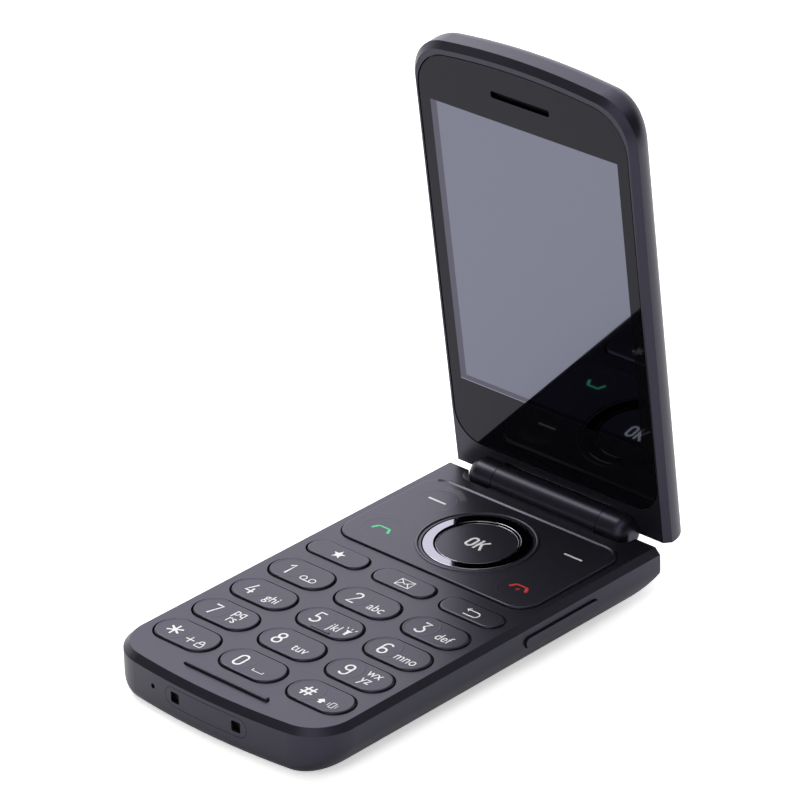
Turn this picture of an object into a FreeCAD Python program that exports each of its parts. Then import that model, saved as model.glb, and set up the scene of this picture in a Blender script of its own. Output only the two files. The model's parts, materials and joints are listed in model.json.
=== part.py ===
import FreeCAD, Part
import math
import os
import re
import Sketcher
from FreeCAD import Placement, Rotation, Vector

# Flip phone standing open, keypad half flat on the table.
# Millimetres. X runs across the phone, Y towards the hinge, Z up.
# The origin is the middle of the flat underside of the keypad half.
# Both halves are drawn from the hinge axis outwards, so that they match when the phone is closed.

os.makedirs("parts", exist_ok=True)
doc = FreeCAD.newDocument("flip_phone")
sheet = doc.addObject("Spreadsheet::Sheet", "sheet")

SIZES = [
    ("body_width", 53.5, "width of both halves"),
    ("base_length", 91.35, "keypad half, rear face to front end"),
    ("base_height", 9.25, "keypad half, underside to keypad face"),
    ("front_corner", 9.0, "plan radius of the far corners"),
    ("inner_corner", 4.0, "corners of the inner spaces next to the hinge"),
    ("crown_radius", 150.0, "plan radius of the slightly bowed far edge"),
    ("edge_chamfer", 1.2, "bevel round both faces"),
    ("seam_depth", 1.65, "depth of each face moulding, face to seam"),
    ("wall", 1.2, "side walls"),
    ("top_skin", 1.1, "keypad face moulding"),
    ("floor_skin", 1.3, "floor of the lower housing"),
    ("belly_radius", 5.2, "rounding below the long sides of the base"),
    ("nose_radius", 2.0, "rounding below the front end of the base"),
    ("floor_bevel", 2.4, "bevel round the floor inside the base"),
    ("tail_length", 16.0, "length over which the underside rises to the hinge"),
    ("tail_rise", 4.2, "height of the underside at the rear face"),
    ("hinge_block", 5.5, "hinge axis to the inner spaces of both halves"),
    ("slip", 0.05, "clearance between stacked flat pieces"),
    ("fit_gap", 0.03, "radial clearance of a turned fit"),
    ("seat_gap", 0.08, "clearance round a piece let into a moulding"),
    ("axis_back", 0.75, "hinge axis behind the rear face of the base"),
    ("barrel_radius", 3.4, "hinge barrel and knuckles"),
    ("barrel_length", 26.0, "middle barrel, on the base"),
    ("barrel_gap", 0.12, "end clearance between barrel and knuckle"),
    ("knuckle_length", 6.5, "each knuckle, on the lid"),
    ("knuckle_round", 2.4, "rounding of the outer knuckle ends"),
    ("trough_gap", 0.6, "clearance of the troughs round the knuckles"),
    ("trough_end", 1.1, "clearance of the troughs beyond the knuckles"),
    ("barrel_clearance", 0.3, "clearance of the lid round the barrel"),
    ("rest_angle", 83.7, "lid opening in the standing pose, from closed"),
    ("key_margin", 3.08, "side of the phone to the outer keys"),
    ("key_space", 2.37, "between neighbouring keys of a row"),
    ("first_row", 50.3, "hinge axis to the 1-2-3 row"),
    ("last_row_margin", 12.49, "far end to the middle of the last row"),
    ("row_space", 2.17, "between neighbouring rows"),
    ("key_gap", 0.22, "gap round every key"),
    ("key_rise", 0.45, "keys above the keypad face"),
    ("key_round", 0.4, "bevel round the key tops"),
    ("key_travel", 0.35, "press of a key"),
    ("flange_rim", 0.5, "flange of a key beyond its cap"),
    ("flange_thickness", 0.4, "flange under a key"),
    ("function_row", 40.7, "hinge axis to the function row"),
    ("function_depth", 5.3, "function keys, front to back"),
    ("nav_centre", 20.78, "hinge axis to the middle of the corner key plate"),
    ("nav_margin", 2.95, "side of the phone to the corner key plate"),
    ("nav_depth", 28.4, "corner key plate, front to back"),
    ("nav_corner", 4.5, "corner key plate"),
    ("nav_rise", 0.4, "corner key plate above the keypad face"),
    ("ok_centre", 21.1, "hinge axis to the middle of the ring and the OK button"),
    ("ok_radius", 7.75, "OK button"),
    ("ok_rise", 0.15, "OK button above the keypad face"),
    ("ring_inner", 8.05, "navigation ring, inner edge"),
    ("ring_outer", 10.15, "navigation ring, outer edge"),
    ("ring_rise", 0.4, "navigation ring above the keypad face"),
    ("ring_bevel", 0.7, "bevel of both top edges of the ring"),
    ("collar_width", 0.85, "raised lip of the plate round the ring"),
    ("collar_rise", 0.25, "lip above the corner key plate"),
    ("bumper_margin", 5.6, "far end to the rubber strip"),
    ("bumper_length", 20.4, "rubber strip that the lid closes on"),
    ("bumper_depth", 1.3, "rubber strip, front to back"),
    ("bumper_rise", 0.7, "rubber strip above the keypad face"),
    ("bumper_bevel", 0.4, "bevel round the rubber strip"),
    ("mat_thickness", 0.4, "silicone key mat"),
    ("dome_height", 0.2, "metal domes"),
    ("sheet_thickness", 0.15, "dome sheet"),
    ("board_thickness", 0.8, "main circuit board"),
    ("board_margin", 4.75, "side of the phone to the main circuit board"),
    ("board_corner", 2.0, "corners of the circuit boards"),
    ("battery_side", 8.75, "side of the phone to the battery"),
    ("battery_rear", 17.0, "hinge axis to the battery"),
    ("battery_thickness", 4.2, "battery"),
    ("battery_corner", 1.5, "corners of the battery"),
    ("battery_bevel", 0.5, "bevel of the battery"),
    ("bay_gap", 0.8, "battery bay beyond the battery"),
    ("battery_front", 25.1, "far end to the battery"),
    ("cover_border", 3.0, "battery cover beyond the battery"),
    ("cover_thickness", 0.8, "battery cover"),
    ("cover_corner", 4.5, "corners of the battery cover and of the outer window"),
    ("can_length", 8.0, "shielding can, front to back"),
    ("can_height", 2.0, "shielding can"),
    ("speaker_width", 16.0, "loudspeaker"),
    ("speaker_length", 6.2, "loudspeaker, front to back"),
    ("speaker_thickness", 2.8, "loudspeaker"),
    ("speaker_centre", 12.0, "hinge axis to the middle of the loudspeaker"),
    ("speaker_low", 2.45, "underside to the loudspeaker"),
    ("sound_slot", 0.8, "width of a sound slot"),
    ("sound_length", 8.0, "length of a sound slot"),
    ("sound_pitch", 1.5, "spacing of the sound slots"),
    ("motor_radius", 1.9, "vibration motor"),
    ("motor_length", 9.0, "vibration motor"),
    ("rocker_centre", 28.1, "hinge axis to the middle of the volume rocker"),
    ("rocker_length", 19.6, "volume rocker"),
    ("rocker_height", 1.9, "volume rocker"),
    ("rocker_drop", 3.75, "keypad face to the middle of the rocker"),
    ("rocker_rise", 0.45, "rocker beyond the side"),
    ("rocker_play", 0.3, "room in front of the rim of the rocker"),
    ("rocker_pivot", 0.35, "radius of the rib on which the rocker tilts"),
    ("insert_width", 20.0, "contact insert in the front end"),
    ("insert_height", 3.8, "contact insert"),
    ("insert_drop", 3.95, "keypad face to the middle of the contact insert"),
    ("insert_depth", 1.7, "contact insert, front to back"),
    ("contact_pitch", 15.1, "charging contacts"),
    ("contact_hole", 2.1, "square holes of the charging contacts"),
    ("contact_sink", 0.9, "contacts behind the face of the insert"),
    ("small_corner", 0.3, "corners of the smallest square parts"),
    ("mic_place", 13.5, "middle plane to the microphone hole"),
    ("mic_hole", 0.5, "radius of the microphone hole"),
    ("mic_radius", 1.6, "microphone"),
    ("socket_centre", 30.0, "hinge axis to the charging socket"),
    ("socket_width", 8.3, "charging socket opening"),
    ("socket_height", 2.6, "charging socket opening"),
    ("socket_wall", 0.3, "metal shell of the charging socket"),
    ("socket_length", 6.5, "charging socket"),
    ("screw_radius", 0.7, "thread of the small screws"),
    ("screw_head", 1.4, "head radius of the small screws"),
    ("screw_recess", 0.7, "heads of the base screws below the underside"),
    ("post_radius", 2.0, "screw posts of the base"),
    ("base_screw_side", 7.75, "side of the phone to a screw of the base"),
    ("base_screw_end", 5.6, "far end to the screws of the base"),
    ("lid_thickness", 6.9, "lid, inner face to back"),
    ("face_set", 1.456, "inner face of the lid behind the hinge axis"),
    ("lid_heel", 0.35, "lower end of the lid beyond the hinge axis"),
    ("lid_side_round", 5.1, "rounding of the long back edges of the lid"),
    ("lid_top_round", 2.8, "rounding of the top back edge of the lid"),
    ("lid_heel_round", 2.4, "rounding of the lower back edge of the lid"),
    ("lid_skin", 0.9, "back of the lid"),
    ("lid_bevel", 3.3, "bevel round the inside of the back of the lid"),
    ("lens_side", 1.85, "side of the phone to the inner window pane"),
    ("lens_low", 5.4, "hinge axis to the lower edge of the pane"),
    ("lens_top", 2.45, "far end to the upper edge of the pane"),
    ("lens_low_corner", 6.0, "lower corners of the pane"),
    ("lens_high_corner", 8.2, "upper corners of the pane"),
    ("lens_thickness", 0.8, "inner window pane"),
    ("lens_sink", 0.1, "pane below the rim"),
    ("lens_gap", 0.25, "gap round the pane"),
    ("window_side", 2.5, "side edge of the pane to its clear part"),
    ("window_low", 18.9, "hinge axis to the lower edge of the clear part"),
    ("window_top", 13.55, "far end to the upper edge of the clear part"),
    ("panel_border", 1.0, "display panel beyond the clear part"),
    ("panel_corner", 1.0, "corners of the display panel"),
    ("panel_thickness", 1.7, "display panel with its light guide"),
    ("tray_thickness", 0.4, "metal tray behind the display panel"),
    ("ear_top", 8.1, "far end to the earpiece slot"),
    ("ear_length", 14.0, "earpiece slot"),
    ("ear_height", 1.4, "earpiece slot"),
    ("ear_corner", 0.5, "corners of the earpiece slot"),
    ("mesh_height", 2.5, "wire mesh behind the earpiece slot"),
    ("ear_depth", 3.8, "earpiece capsule, along the lid"),
    ("lid_board_thickness", 0.6, "lid circuit board"),
    ("back_pane_width", 30.0, "outer window pane"),
    ("back_pane_length", 36.0, "outer window pane"),
    ("back_pane_thickness", 0.7, "outer window pane"),
    ("back_pane_top", 30.1, "far end to the middle of the outer pane"),
    ("outer_screen_width", 22.0, "outer display"),
    ("outer_screen_length", 17.6, "outer display"),
    ("outer_screen_drop", 6.0, "middle of the outer pane to the middle of the outer display"),
    ("camera_top", 18.6, "far end to the camera"),
    ("camera_radius", 3.2, "camera housing"),
    ("lamp_radius", 1.5, "small lamp"),
    ("lamp_offset", 8.5, "camera to the small lamp beside it"),
    ("lid_screw_side", 5.05, "side of the phone to a screw of the lid"),
    ("lid_screw_from_axis", 2.6, "hinge axis to the screws of the lid"),
    ("cartridge_radius", 2.3, "hinge cartridge in the barrel"),
    ("cartridge_length", 12.6, "hinge cartridge"),
    ("shaft_radius", 1.9, "part of the hinge shaft that drives the lid"),
    ("neck_radius", 1.2, "part of the hinge shaft inside the cartridge"),
    ("shaft_length", 5.2, "hinge shaft inside its knuckle"),
    ("neck_length", 4.0, "hinge shaft inside the cartridge"),
    ("bush_bore", 1.6, "bore of the hinge bush, for the cable"),
    ("cable_radius", 1.3, "rolled display cable"),
]

for row, (name, value, meaning) in enumerate(SIZES, start=1):
    sheet.set(f"A{row}", meaning)
    sheet.set(f"B{row}", str(value))
    sheet.setAlias(f"B{row}", name)
doc.recompute()

NAMES = {name for name, _, _ in SIZES}
nodes = {}


def number(formula):
    """Value of a formula on the names of the sheet."""
    return float(sheet.evalExpression(formula))


def bind(thing, field, formula):
    """Ties a property to the cells that the formula names."""
    cells = re.sub(r"[a-z_]+", lambda word: "sheet." + word[0] if word[0] in NAMES else word[0], formula)
    thing.setExpression(field, cells)


FLAT = 1e-4
FAR_END = "(axis_back + base_length)"
HINGE_Y = "(base_length / 2 + axis_back)"

# Keys and plates that fill the width between the margins.
KEY_WIDTH = "((body_width - 2 * key_margin - 2 * key_space) / 3)"
COLUMN_PITCH = f"({KEY_WIDTH} + key_space)"
ROW_PITCH = f"(({FAR_END} - last_row_margin - first_row) / 3)"
KEY_DEPTH = f"({ROW_PITCH} - row_space)"
NAV_WIDTH = "(body_width - 2 * nav_margin)"
BOARD_WIDTH = "(body_width - 2 * board_margin)"
BATTERY_WIDTH = "(body_width - 2 * battery_side)"
BATTERY_LENGTH = f"({FAR_END} - battery_front - battery_rear)"
BATTERY_MIDDLE = f"(battery_rear + {BATTERY_LENGTH} / 2)"
CAN_MIDDLE = f"{FAR_END} - battery_front + 2 * bay_gap + can_length / 2"
BASE_SCREW_X = "(body_width / 2 - base_screw_side)"
BASE_SCREW_Y = f"({FAR_END} - base_screw_end)"
LID_SCREW_X = "(body_width / 2 - lid_screw_side)"
LENS_WIDTH = "(body_width - 2 * lens_side)"
LENS_HIGH = f"({FAR_END} - lens_top)"
WINDOW_WIDTH = f"({LENS_WIDTH} - 2 * window_side)"
WINDOW_HIGH = f"({FAR_END} - window_top)"
WINDOW_MIDDLE = f"((window_low + {WINDOW_HIGH}) / 2)"
EAR = f"({FAR_END} - ear_top)"
CAMERA = f"({FAR_END} - camera_top)"
OUTER_PANE = f"({FAR_END} - back_pane_top)"

# Heights in the base, from the keypad face down.
SEAM = "base_height - seam_depth"
ROCKER_LEVEL = "base_height - rocker_drop"
INSERT_LEVEL = "base_height - insert_drop"
FLANGE_LOW = "base_height - top_skin - slip - flange_thickness"
MAT_LOW = f"{FLANGE_LOW} - key_travel - slip - mat_thickness"
SHEET_LOW = f"{MAT_LOW} - slip - dome_height - sheet_thickness"
BOARD_LOW = f"{SHEET_LOW} - slip - board_thickness"
BATTERY_LOW = f"{BOARD_LOW} - 2 * slip - battery_thickness"
SOCKET_LEVEL = f"{BOARD_LOW} - slip - socket_wall - socket_height / 2"

# Heights in the lid, measured from the hinge axis towards the person who looks at the display.
LID_SEAM = "-face_set - seam_depth"
LID_BACK = "-face_set - lid_thickness"
PANEL_FACE = "-face_set - lens_sink - lens_thickness - 2 * slip"

KNUCKLE_START = "barrel_length / 2 + barrel_gap"
KNUCKLE_END = f"{KNUCKLE_START} + knuckle_length"


def sketch_on(body, name, role="XY_Plane"):
    plane = next(item for item in body.Origin.OriginFeatures if item.Role == role)
    sketch = body.newObject("Sketcher::SketchObject", name)
    sketch.AttachmentSupport = [(plane, "")]
    sketch.MapMode = "FlatFace"
    return sketch


def line(x1, y1, x2, y2):
    return Part.LineSegment(Vector(x1, y1, 0), Vector(x2, y2, 0))


def arc(x, y, radius, start, end):
    circle = Part.Circle(Vector(x, y, 0), Vector(0, 0, 1), radius)
    return Part.ArcOfCircle(circle, math.radians(start), math.radians(end))


def dimension(sketch, name, formula, kind, *places):
    """Adds a named measure to a sketch and ties it to the sheet."""
    index = sketch.addConstraint(Sketcher.Constraint(kind, *places, number(formula)))
    sketch.renameConstraint(index, name)
    bind(sketch, "Constraints." + name, formula)


def join_ends(sketch, count):
    """Makes each curve of a closed loop run smoothly into the next one."""
    for index in range(count):
        sketch.addConstraint(Sketcher.Constraint("Tangent", index, 2, (index + 1) % count, 1))


def disc(sketch, radius):
    sketch.addGeometry(Part.Circle(Vector(0, 0, 0), Vector(0, 0, 1), number(radius)), False)
    sketch.addConstraint(Sketcher.Constraint("Coincident", 0, 3, -1, 1))
    dimension(sketch, "radius", radius, "Radius", 0)


def stadium(sketch, width, depth):
    """Slot shape with round ends, long in X."""
    radius = number(depth) / 2
    x = number(width) / 2 - radius
    sketch.addGeometry([line(-x, -radius, x, -radius), arc(x, 0, radius, -90, 90),
                        line(x, radius, -x, radius), arc(-x, 0, radius, 90, 270)], False)
    join_ends(sketch, 4)
    sketch.addConstraint(Sketcher.Constraint("Horizontal", 0))
    sketch.addConstraint(Sketcher.Constraint("Equal", 1, 3))
    sketch.addConstraint(Sketcher.Constraint("Symmetric", 1, 3, 3, 3, -1, 1))
    dimension(sketch, "end_radius", f"({depth}) / 2", "Radius", 1)
    dimension(sketch, "centres", f"({width}) - ({depth})", "DistanceX", 3, 3, 1, 3)


def rectangle(sketch, width, depth, radius):
    """Rectangle with round corners, centred on the origin."""
    corner = number(radius)
    x = number(width) / 2 - corner
    y = number(depth) / 2 - corner
    sketch.addGeometry([line(-x, -y - corner, x, -y - corner), arc(x, -y, corner, -90, 0),
                        line(x + corner, -y, x + corner, y), arc(x, y, corner, 0, 90),
                        line(x, y + corner, -x, y + corner), arc(-x, y, corner, 90, 180),
                        line(-x - corner, y, -x - corner, -y), arc(-x, -y, corner, 180, 270)], False)
    join_ends(sketch, 8)
    for side in (0, 4):
        sketch.addConstraint(Sketcher.Constraint("Horizontal", side))
    for side in (2, 6):
        sketch.addConstraint(Sketcher.Constraint("Vertical", side))
    for other in (3, 5, 7):
        sketch.addConstraint(Sketcher.Constraint("Equal", 1, other))
    sketch.addConstraint(Sketcher.Constraint("Symmetric", 1, 3, 5, 3, -1, 1))
    dimension(sketch, "corner", radius, "Radius", 1)
    dimension(sketch, "width", width, "DistanceX", 6, 1, 2, 1)
    dimension(sketch, "depth", depth, "DistanceY", 0, 1, 4, 1)


def bowed(sketch, width, low, high, low_corner, high_corner, crown):
    """Plan of a half: straight lower edge, straight sides, bowed far edge, all corners round."""
    half = number(width) / 2
    bottom, top = number(low), number(high)
    near, far, bow = number(low_corner), number(high_corner), number(crown)
    centre = top - bow
    corner_x = half - far
    corner_y = centre + math.sqrt((bow - far) ** 2 - corner_x ** 2)
    turn = math.degrees(math.atan2(corner_y - centre, corner_x))
    sketch.addGeometry([
        line(near - half, bottom, half - near, bottom),
        arc(half - near, bottom + near, near, -90, 0),
        line(half, bottom + near, half, corner_y),
        arc(corner_x, corner_y, far, 0, turn),
        arc(0, centre, bow, turn, 180 - turn),
        arc(-corner_x, corner_y, far, 180 - turn, 180),
        line(-half, corner_y, -half, bottom + near),
        arc(near - half, bottom + near, near, 180, 270)], False)
    join_ends(sketch, 8)
    for side in (2, 6):
        sketch.addConstraint(Sketcher.Constraint("Vertical", side))
    sketch.addConstraint(Sketcher.Constraint("Equal", 1, 7))
    sketch.addConstraint(Sketcher.Constraint("Equal", 3, 5))
    sketch.addConstraint(Sketcher.Constraint("Symmetric", 0, 1, 0, 2, -2))
    sketch.addConstraint(Sketcher.Constraint("PointOnObject", 4, 3, -2))
    dimension(sketch, "near_corner", low_corner, "Radius", 1)
    dimension(sketch, "far_corner", high_corner, "Radius", 3)
    dimension(sketch, "crown", crown, "Radius", 4)
    dimension(sketch, "width", width, "DistanceX", 6, 1, 2, 1)
    dimension(sketch, "low_edge", low, "DistanceY", -1, 1, 0, 1)
    dimension(sketch, "crown_centre", f"({high}) - ({crown})", "DistanceY", -1, 1, 4, 3)


def pad(body, sketch, length):
    feature = body.newObject("PartDesign::Pad", sketch.Name + "_pad")
    feature.Profile = sketch
    bind(feature, "Length", length)
    doc.recompute()
    return feature


def pocket(body, sketch, depth, upward):
    """Cuts a sketch into the solid, upward from the sketch or downward."""
    before = body.Shape.Volume
    feature = body.newObject("PartDesign::Pocket", sketch.Name + "_pocket")
    feature.Profile = sketch
    feature.Reversed = upward
    bind(feature, "Length", depth)
    doc.recompute()
    if body.Shape.Volume > before - FLAT:
        raise RuntimeError(sketch.Name + " cuts nothing")
    return feature


def edges_at(shape, height):
    """Names of the edges that lie flat at a height."""
    found = []
    for index, edge in enumerate(shape.Edges, start=1):
        box = edge.BoundBox
        if abs(box.ZMin - height) < FLAT and abs(box.ZMax - height) < FLAT:
            found.append(f"Edge{index}")
    return found


def dress_top(body, feature, height, size, kind="PartDesign::Chamfer"):
    """Bevels or rounds the edges at a height of the last feature."""
    dressing = body.newObject(kind, body.Name + "_edge")
    dressing.Base = (feature, edges_at(feature.Shape, number(height)))
    bind(dressing, "Radius" if kind.endswith("Fillet") else "Size", size)
    doc.recompute()
    return dressing


def slab(name, shape, height, bevel=None):
    """Plate of an outline given as (function, measures), standing on its own XY plane."""
    body = doc.addObject("PartDesign::Body", name)
    sketch = sketch_on(body, name + "_outline")
    draw, measures = shape
    draw(sketch, *measures)
    feature = pad(body, sketch, height)
    if bevel:
        dress_top(body, feature, height, bevel)
    return body


def at(thing, x="0", y="0", z="0", turn=None):
    """Puts a thing at a place of its half, turned first where turn is (axis, degrees)."""
    rotation = Rotation(Vector(*turn[0]), turn[1]) if turn else Rotation()
    thing.Placement = Placement(Vector(number(x), number(y), number(z)), rotation)
    return thing


def in_base(thing, x="0", from_axis="0", z="0", turn=None):
    """Puts a thing in the base at a distance in front of the hinge axis."""
    return at(thing, x, f"{HINGE_Y} - ({from_axis})", z, turn)


def block(name, width, depth, height):
    """Plain block with one corner at its origin."""
    box = doc.addObject("Part::Box", name)
    bind(box, "Length", width)
    bind(box, "Width", depth)
    bind(box, "Height", height)
    return box


def block_at(name, x_range, y_range, z_range):
    """Block between pairs of formulas."""
    spans = [f"({high}) - ({low})" for low, high in (x_range, y_range, z_range)]
    return at(block(name, *spans), x_range[0], y_range[0], z_range[0])


def rod(name, radius, length):
    cylinder = doc.addObject("Part::Cylinder", name)
    bind(cylinder, "Radius", radius)
    bind(cylinder, "Height", length)
    return cylinder


ALONG_X = ((0, 1, 0), 90)
DOME_SIDES = 8


def cross_rod(name, radius, start, end, y="0", z="0"):
    """Round bar along X between two places."""
    return at(rod(name, radius, f"({end}) - ({start})"), start, y, z, ALONG_X)


def gather(name, things):
    if len(things) == 1:
        return things[0]
    whole = doc.addObject("Part::MultiFuse", name)
    whole.Shapes = things
    return whole


def cut(name, base, tools):
    piece = doc.addObject("Part::Cut", name)
    piece.Base = base
    piece.Tool = gather(name + "_tools", tools)
    return piece


def common(name, base, tool):
    piece = doc.addObject("Part::Common", name)
    piece.Base = base
    piece.Tool = tool
    return piece


def group(name, things):
    """Several like solids in one node."""
    whole = doc.addObject("Part::Compound", name)
    whole.Links = things
    return whole


LID_TURN = Rotation(Vector(1, 0, 0), 180 - number("rest_angle"))
LID_SEAT = Placement(Vector(0, number(HINGE_Y), number("base_height")), LID_TURN)


def node(thing, label, lid=False):
    """Registers a finished piece under its name, lid pieces swung to the standing pose."""
    doc.recompute()
    thing.Label = label
    if lid:
        thing.Placement = LID_SEAT * thing.Placement
    nodes[label] = thing
    return thing


def half_turned(thing, z="0"):
    """Turns a plan drawn away from the hinge axis into the base, which lies in front of it."""
    return at(thing, "0", HINGE_Y, z, ((0, 0, 1), 180))


def tub(name, low, height, side_round, end_round):
    """Plan of a half with round lower edges: one radius along the sides, another at the far end."""
    blank = slab(name + "_blank", (bowed, (
        "body_width", low, FAR_END, "front_corner", "front_corner", "crown_radius")), height)
    half = number("body_width / 2")
    middle = number(f"{FAR_END} / 2")

    def radius(corner):
        at_far_end = corner.Y > middle and abs(corner.X) < half - FLAT
        return number(end_round if at_far_end else side_round)

    edges = []
    for index, edge in enumerate(blank.Shape.Edges, start=1):
        if edge.BoundBox.ZMax < FLAT:
            ends = edge.Vertexes
            edges.append((index, radius(ends[0]), radius(ends[-1])))
    rounded = doc.addObject("Part::Fillet", name)
    rounded.Base = blank
    rounded.Edges = edges
    return rounded


def key_window(name, width, depth):
    return slab(name, (stadium, (f"{width} + 2 * key_gap", f"{depth} + 2 * key_gap")), "base_height")


def keys():
    """Places of the keys: name, column, distance from the hinge axis and depth."""
    places = []
    for column, name in zip((-1, 0, 1), ("favourite", "message", "back")):
        places.append(("key_" + name, column, "function_row", "function_depth"))
    rows = (("1", "2", "3"), ("4", "5", "6"), ("7", "8", "9"), ("star", "0", "hash"))
    for row, names in enumerate(rows):
        for column, name in zip((-1, 0, 1), names):
            places.append(("key_" + name, column, f"first_row + {row} * {ROW_PITCH}", KEY_DEPTH))
    return places


def round_nosed(name, radius, length, nose):
    """Upright round bar whose top edge is rounded."""
    body = slab(name, (disc, (radius,)), length)
    dress_top(body, body.Tip, length, nose, "PartDesign::Fillet")
    return body


def hinge_troughs(name):
    """Spaces in the base for the two knuckles of the lid."""
    spaces = []
    for side, place in ((-1, "left"), (1, "right")):
        space = round_nosed(f"{name}_{place}", "barrel_radius + trough_gap",
                            "barrel_gap + knuckle_length + trough_end", "knuckle_round")
        spaces.append(at(space, f"{side} * barrel_length / 2", HINGE_Y, "base_height",
                         ((0, 1, 0), 90 * side)))
    return spaces


def rear_trim(name, low_z, high_z):
    """Space behind the flat rear face of the base."""
    return block_at(name, ("-body_width", "body_width"),
                    (f"{HINGE_Y} - axis_back", f"{HINGE_Y} + base_length"), (low_z, high_z))


def base_top_cover():
    blank = doc.addObject("PartDesign::Body", "top_blank")
    plan = sketch_on(blank, "top_plan")
    bowed(plan, "body_width", "axis_back - 2 * front_corner", FAR_END,
          "front_corner", "front_corner", "crown_radius")
    plate = pad(blank, plan, "seam_depth")
    dress_top(blank, plate, "seam_depth", "edge_chamfer")
    hollow = sketch_on(blank, "top_hollow")
    bowed(hollow, "body_width - 2 * wall", "hinge_block", f"{FAR_END} - wall",
          "inner_corner", "front_corner - wall", "crown_radius - wall")
    pocket(blank, hollow, "seam_depth - top_skin", True)
    half_turned(blank, SEAM)
    body = cut("top_trimmed", blank, [rear_trim("top_rear", "0", "2 * base_height")])
    barrel = cross_rod("barrel", "barrel_radius", "-barrel_length / 2", "barrel_length / 2",
                       HINGE_Y, "base_height")
    with_barrel = gather("top_with_barrel", [body, barrel])
    tools = hinge_troughs("top_trough")
    for name, column, from_axis, depth in keys():
        window = key_window("window_" + name, KEY_WIDTH, depth)
        tools.append(in_base(window, f"{column} * {COLUMN_PITCH}", from_axis))
    nav_window = slab("nav_window", (rectangle, (f"{NAV_WIDTH} + 2 * key_gap", "nav_depth + 2 * key_gap",
                                                 "nav_corner + key_gap")), "base_height")
    tools.append(in_base(nav_window, "0", "nav_centre"))
    slot = slab("bumper_slot", (stadium, ("bumper_length + 2 * seat_gap", "bumper_depth + 2 * seat_gap")),
                "base_height")
    tools.append(in_base(slot, "0", f"{FAR_END} - bumper_margin", "base_height - top_skin / 2"))
    tools.append(cross_rod("cartridge_bore", "cartridge_radius + fit_gap",
                           "barrel_length / 2 - cartridge_length", "barrel_length / 2 + slip",
                           HINGE_Y, "base_height"))
    tools.append(cross_rod("bush_space", "cartridge_radius + fit_gap", "-barrel_length / 2 - slip",
                           "-barrel_length / 2 + knuckle_length", HINGE_Y, "base_height"))
    return node(cut("top_cover", with_barrel, tools), "base_top_cover")


def keypad():
    for name, column, from_axis, depth in keys():
        cap = doc.addObject("PartDesign::Body", name)
        flange = sketch_on(cap, name + "_flange")
        stadium(flange, f"{KEY_WIDTH} + 2 * flange_rim", f"{depth} + 2 * flange_rim")
        pad(cap, flange, "flange_thickness")
        top = sketch_on(cap, name + "_cap")
        stadium(top, KEY_WIDTH, depth)
        height = f"base_height + key_rise - ({FLANGE_LOW})"
        feature = pad(cap, top, height)
        dress_top(cap, feature, height, "key_round")
        node(in_base(cap, f"{column} * {COLUMN_PITCH}", from_axis, FLANGE_LOW), name)


def navigation():
    """Corner key plate, ring and OK button, nested in one another."""
    plate_top = f"base_height + nav_rise - ({FLANGE_LOW})"
    plate = doc.addObject("PartDesign::Body", "plate")
    flange = sketch_on(plate, "plate_flange")
    rectangle(flange, f"{NAV_WIDTH} + 2 * flange_rim", "nav_depth + 2 * flange_rim",
              "nav_corner + flange_rim")
    pad(plate, flange, "flange_thickness")
    outline = sketch_on(plate, "plate_outline")
    rectangle(outline, NAV_WIDTH, "nav_depth", "nav_corner")
    feature = pad(plate, outline, plate_top)
    dress_top(plate, feature, plate_top, "key_round")
    in_base(plate, "0", "nav_centre", FLANGE_LOW)
    collar = in_base(slab("collar", (disc, ("ring_outer + key_gap + collar_width",)),
                          f"{plate_top} + collar_rise", "collar_rise"), "0", "ok_centre", FLANGE_LOW)
    whole = gather("plate_with_collar", [plate, collar])
    ring_hole = in_base(slab("ring_hole", (disc, ("ring_outer + key_gap",)), "base_height"),
                        "0", "ok_centre", FLANGE_LOW)
    flange_space = in_base(slab("ring_flange_space", (disc, ("ring_outer + 2 * flange_rim + key_gap",)),
                                "flange_thickness + 2 * key_travel"), "0", "ok_centre", FLANGE_LOW)
    node(cut("nav_plate_cut", whole, [ring_hole, flange_space]), "nav_plate")

    ring_top = f"base_height + ring_rise - ({FLANGE_LOW})"
    ring = doc.addObject("PartDesign::Body", "ring")
    rim = sketch_on(ring, "ring_flange")
    disc(rim, "ring_outer + 2 * flange_rim")
    pad(ring, rim, "flange_thickness")
    outer = sketch_on(ring, "ring_wall")
    disc(outer, "ring_outer")
    pad(ring, outer, ring_top)
    bore = sketch_on(ring, "ring_bore")
    disc(bore, "ring_inner")
    bored = pocket(ring, bore, "base_height", True)
    dress_top(ring, bored, ring_top, "ring_bevel")
    in_base(ring, "0", "ok_centre", FLANGE_LOW)
    ok_space = in_base(slab("ok_flange_space", (disc, ("ok_radius + 2 * flange_rim + key_gap",)),
                            "flange_thickness + 2 * key_travel"), "0", "ok_centre", FLANGE_LOW)
    node(cut("nav_ring_cut", ring, [ok_space]), "nav_ring")

    ok_top = f"base_height + ok_rise - ({FLANGE_LOW})"
    button = doc.addObject("PartDesign::Body", "ok_button_body")
    rim = sketch_on(button, "ok_flange")
    disc(rim, "ok_radius + 2 * flange_rim")
    pad(button, rim, "flange_thickness")
    face = sketch_on(button, "ok_face")
    disc(face, "ok_radius")
    feature = pad(button, face, ok_top)
    dress_top(button, feature, ok_top, "key_round")
    node(in_base(button, "0", "ok_centre", FLANGE_LOW), "ok_button")


def bumper_strip():
    strip = slab("bumper", (stadium, ("bumper_length", "bumper_depth")),
                 "top_skin / 2 - slip + bumper_rise", "bumper_bevel")
    in_base(strip, "0", f"{FAR_END} - bumper_margin", "base_height - top_skin / 2 + slip")
    node(strip, "bumper_strip")


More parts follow.
